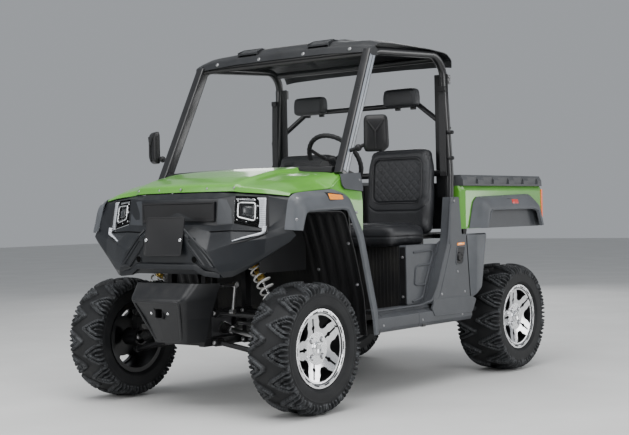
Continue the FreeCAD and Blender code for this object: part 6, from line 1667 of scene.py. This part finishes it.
pair("red_markers",
     relief([(922, 1028), (1000, 1028), (1000, 1056), (922, 1056)], [(0, -10), (0, 3), (2, 5), (6, 6)],
            on_rear_flare, 0.12), red_lens, body="bed")
pair("red_marker_frames",
     relief([(884, 1022), (1008, 1022), (1008, 1062), (872, 1062)],
            [(0, -12), (0, 0.5), (2, 2), (4, 2), (5, 0.5)], on_rear_flare, 0.1), black_plastic,
     body="bed")
strip_rings = [[(668, y, z), (708, y, z), (717, y - 9, z), (717, y - lap, z), (708, y - lap, z),
                (706, y - 8, z), (668, y - 8, z)]
               for y, z, lap in ((1396, 1118, 18), (1400, 1112, 26), (1400, 1030, 26), (1400, 950, 20),
                                 (1396, 940, 14))]
pair("tail_lamp_strips", loft(strip_rings, 0.1), orange_lens, "tail_lamps", body="bed")
dress(dark_plastic, "tailgate")
gate_frames = []
for x0 in (-0.54, -0.16, 0.22):
    x1 = x0 + 0.32
    field = [(x0, 1.3925, 0.952), (x1, 1.3925, 0.952), (x1, 1.3925, 1.132), (x0, 1.3925, 1.132)]
    gate_frames.append(round_bar(field, 0.12, 0.006, 8, 0.6, up=(0, 1, 0), closed=True))
piece("gate_frames", *joined(gate_frames), dark_plastic, body="tailgate", crease=60)
handle = round_bar([(-0.062, 1.388, 1.086), (-0.056, 1.3955, 1.086), (0.056, 1.3955, 1.086),
                    (0.062, 1.388, 1.086)], 0.3, 0.010, 12, 0.5)
piece("gate_handle", *handle, black_plastic, body="tailgate", crease=50)
gate_bolts = mirrored([(0.585, 1.3925, z) for z in (0.93, 1.15)], (0, 1, 0))
bolt_heads("gate_bolts", gate_bolts, 0.009, 0.005, bolt_steel, "tailgate")


# Studio
# A pale floor, a large soft light overhead and softer ones from the sides, one of them for the wheels' faces.

floor_look, floor_shader, floor_place = finish("floor", Roughness=0.8)
drive(floor_shader, "Base Color", floor_place.noise(1.5, 5.0).step(0.3, 0.8).blend((0.6, 0.6, 0.59, 1),
                                                                                  (0.66, 0.66, 0.65, 1)))
floor_mesh = bpy.data.meshes.new("floor")
floor_mesh.from_pydata([(-30, -30, 0), (30, -30, 0), (30, 30, 0), (-30, 30, 0)], [], [(0, 1, 2, 3)])
floor = bpy.data.objects.new("floor", floor_mesh)
floor_mesh.materials.append(floor_look)
bpy.context.scene.collection.objects.link(floor)

world = bpy.data.worlds.new("studio")
world.use_nodes = True
world.node_tree.nodes["Background"].inputs[0].default_value = (0.86, 0.9, 0.95, 1)
world.node_tree.nodes["Background"].inputs[1].default_value = 0.42
bpy.context.scene.world = world
# name, place, aimed at, size, power
for name, place, aim, size, power in (
    ("overhead", (1.0, -2.0, 6.0), (0, 0, 0.8), 6.0, 500),
    ("camera_side", (6.5, -2.5, 3.2), (0, -0.2, 0.8), 3.5, 200),
    ("nose_side", (-2.5, -6.5, 2.6), (0, -0.5, 0.8), 3.0, 150),
    ("tail_side", (-4.0, 6.5, 3.5), (0, 0.5, 0.8), 4.0, 140),
    ("wheel_side", (5.5, 6.0, 1.2), (0.6, 0.2, 0.4), 3.0, 120),
):
    lamp = bpy.data.lights.new(name, "AREA")
    lamp.shape = "SQUARE"
    lamp.size = size
    lamp.energy = power
    holder = bpy.data.objects.new(name, lamp)
    bpy.context.scene.collection.objects.link(holder)
    holder.location = place
    holder.rotation_euler = (Vector(aim) - Vector(place)).to_track_quat("-Z", "Y").to_euler()
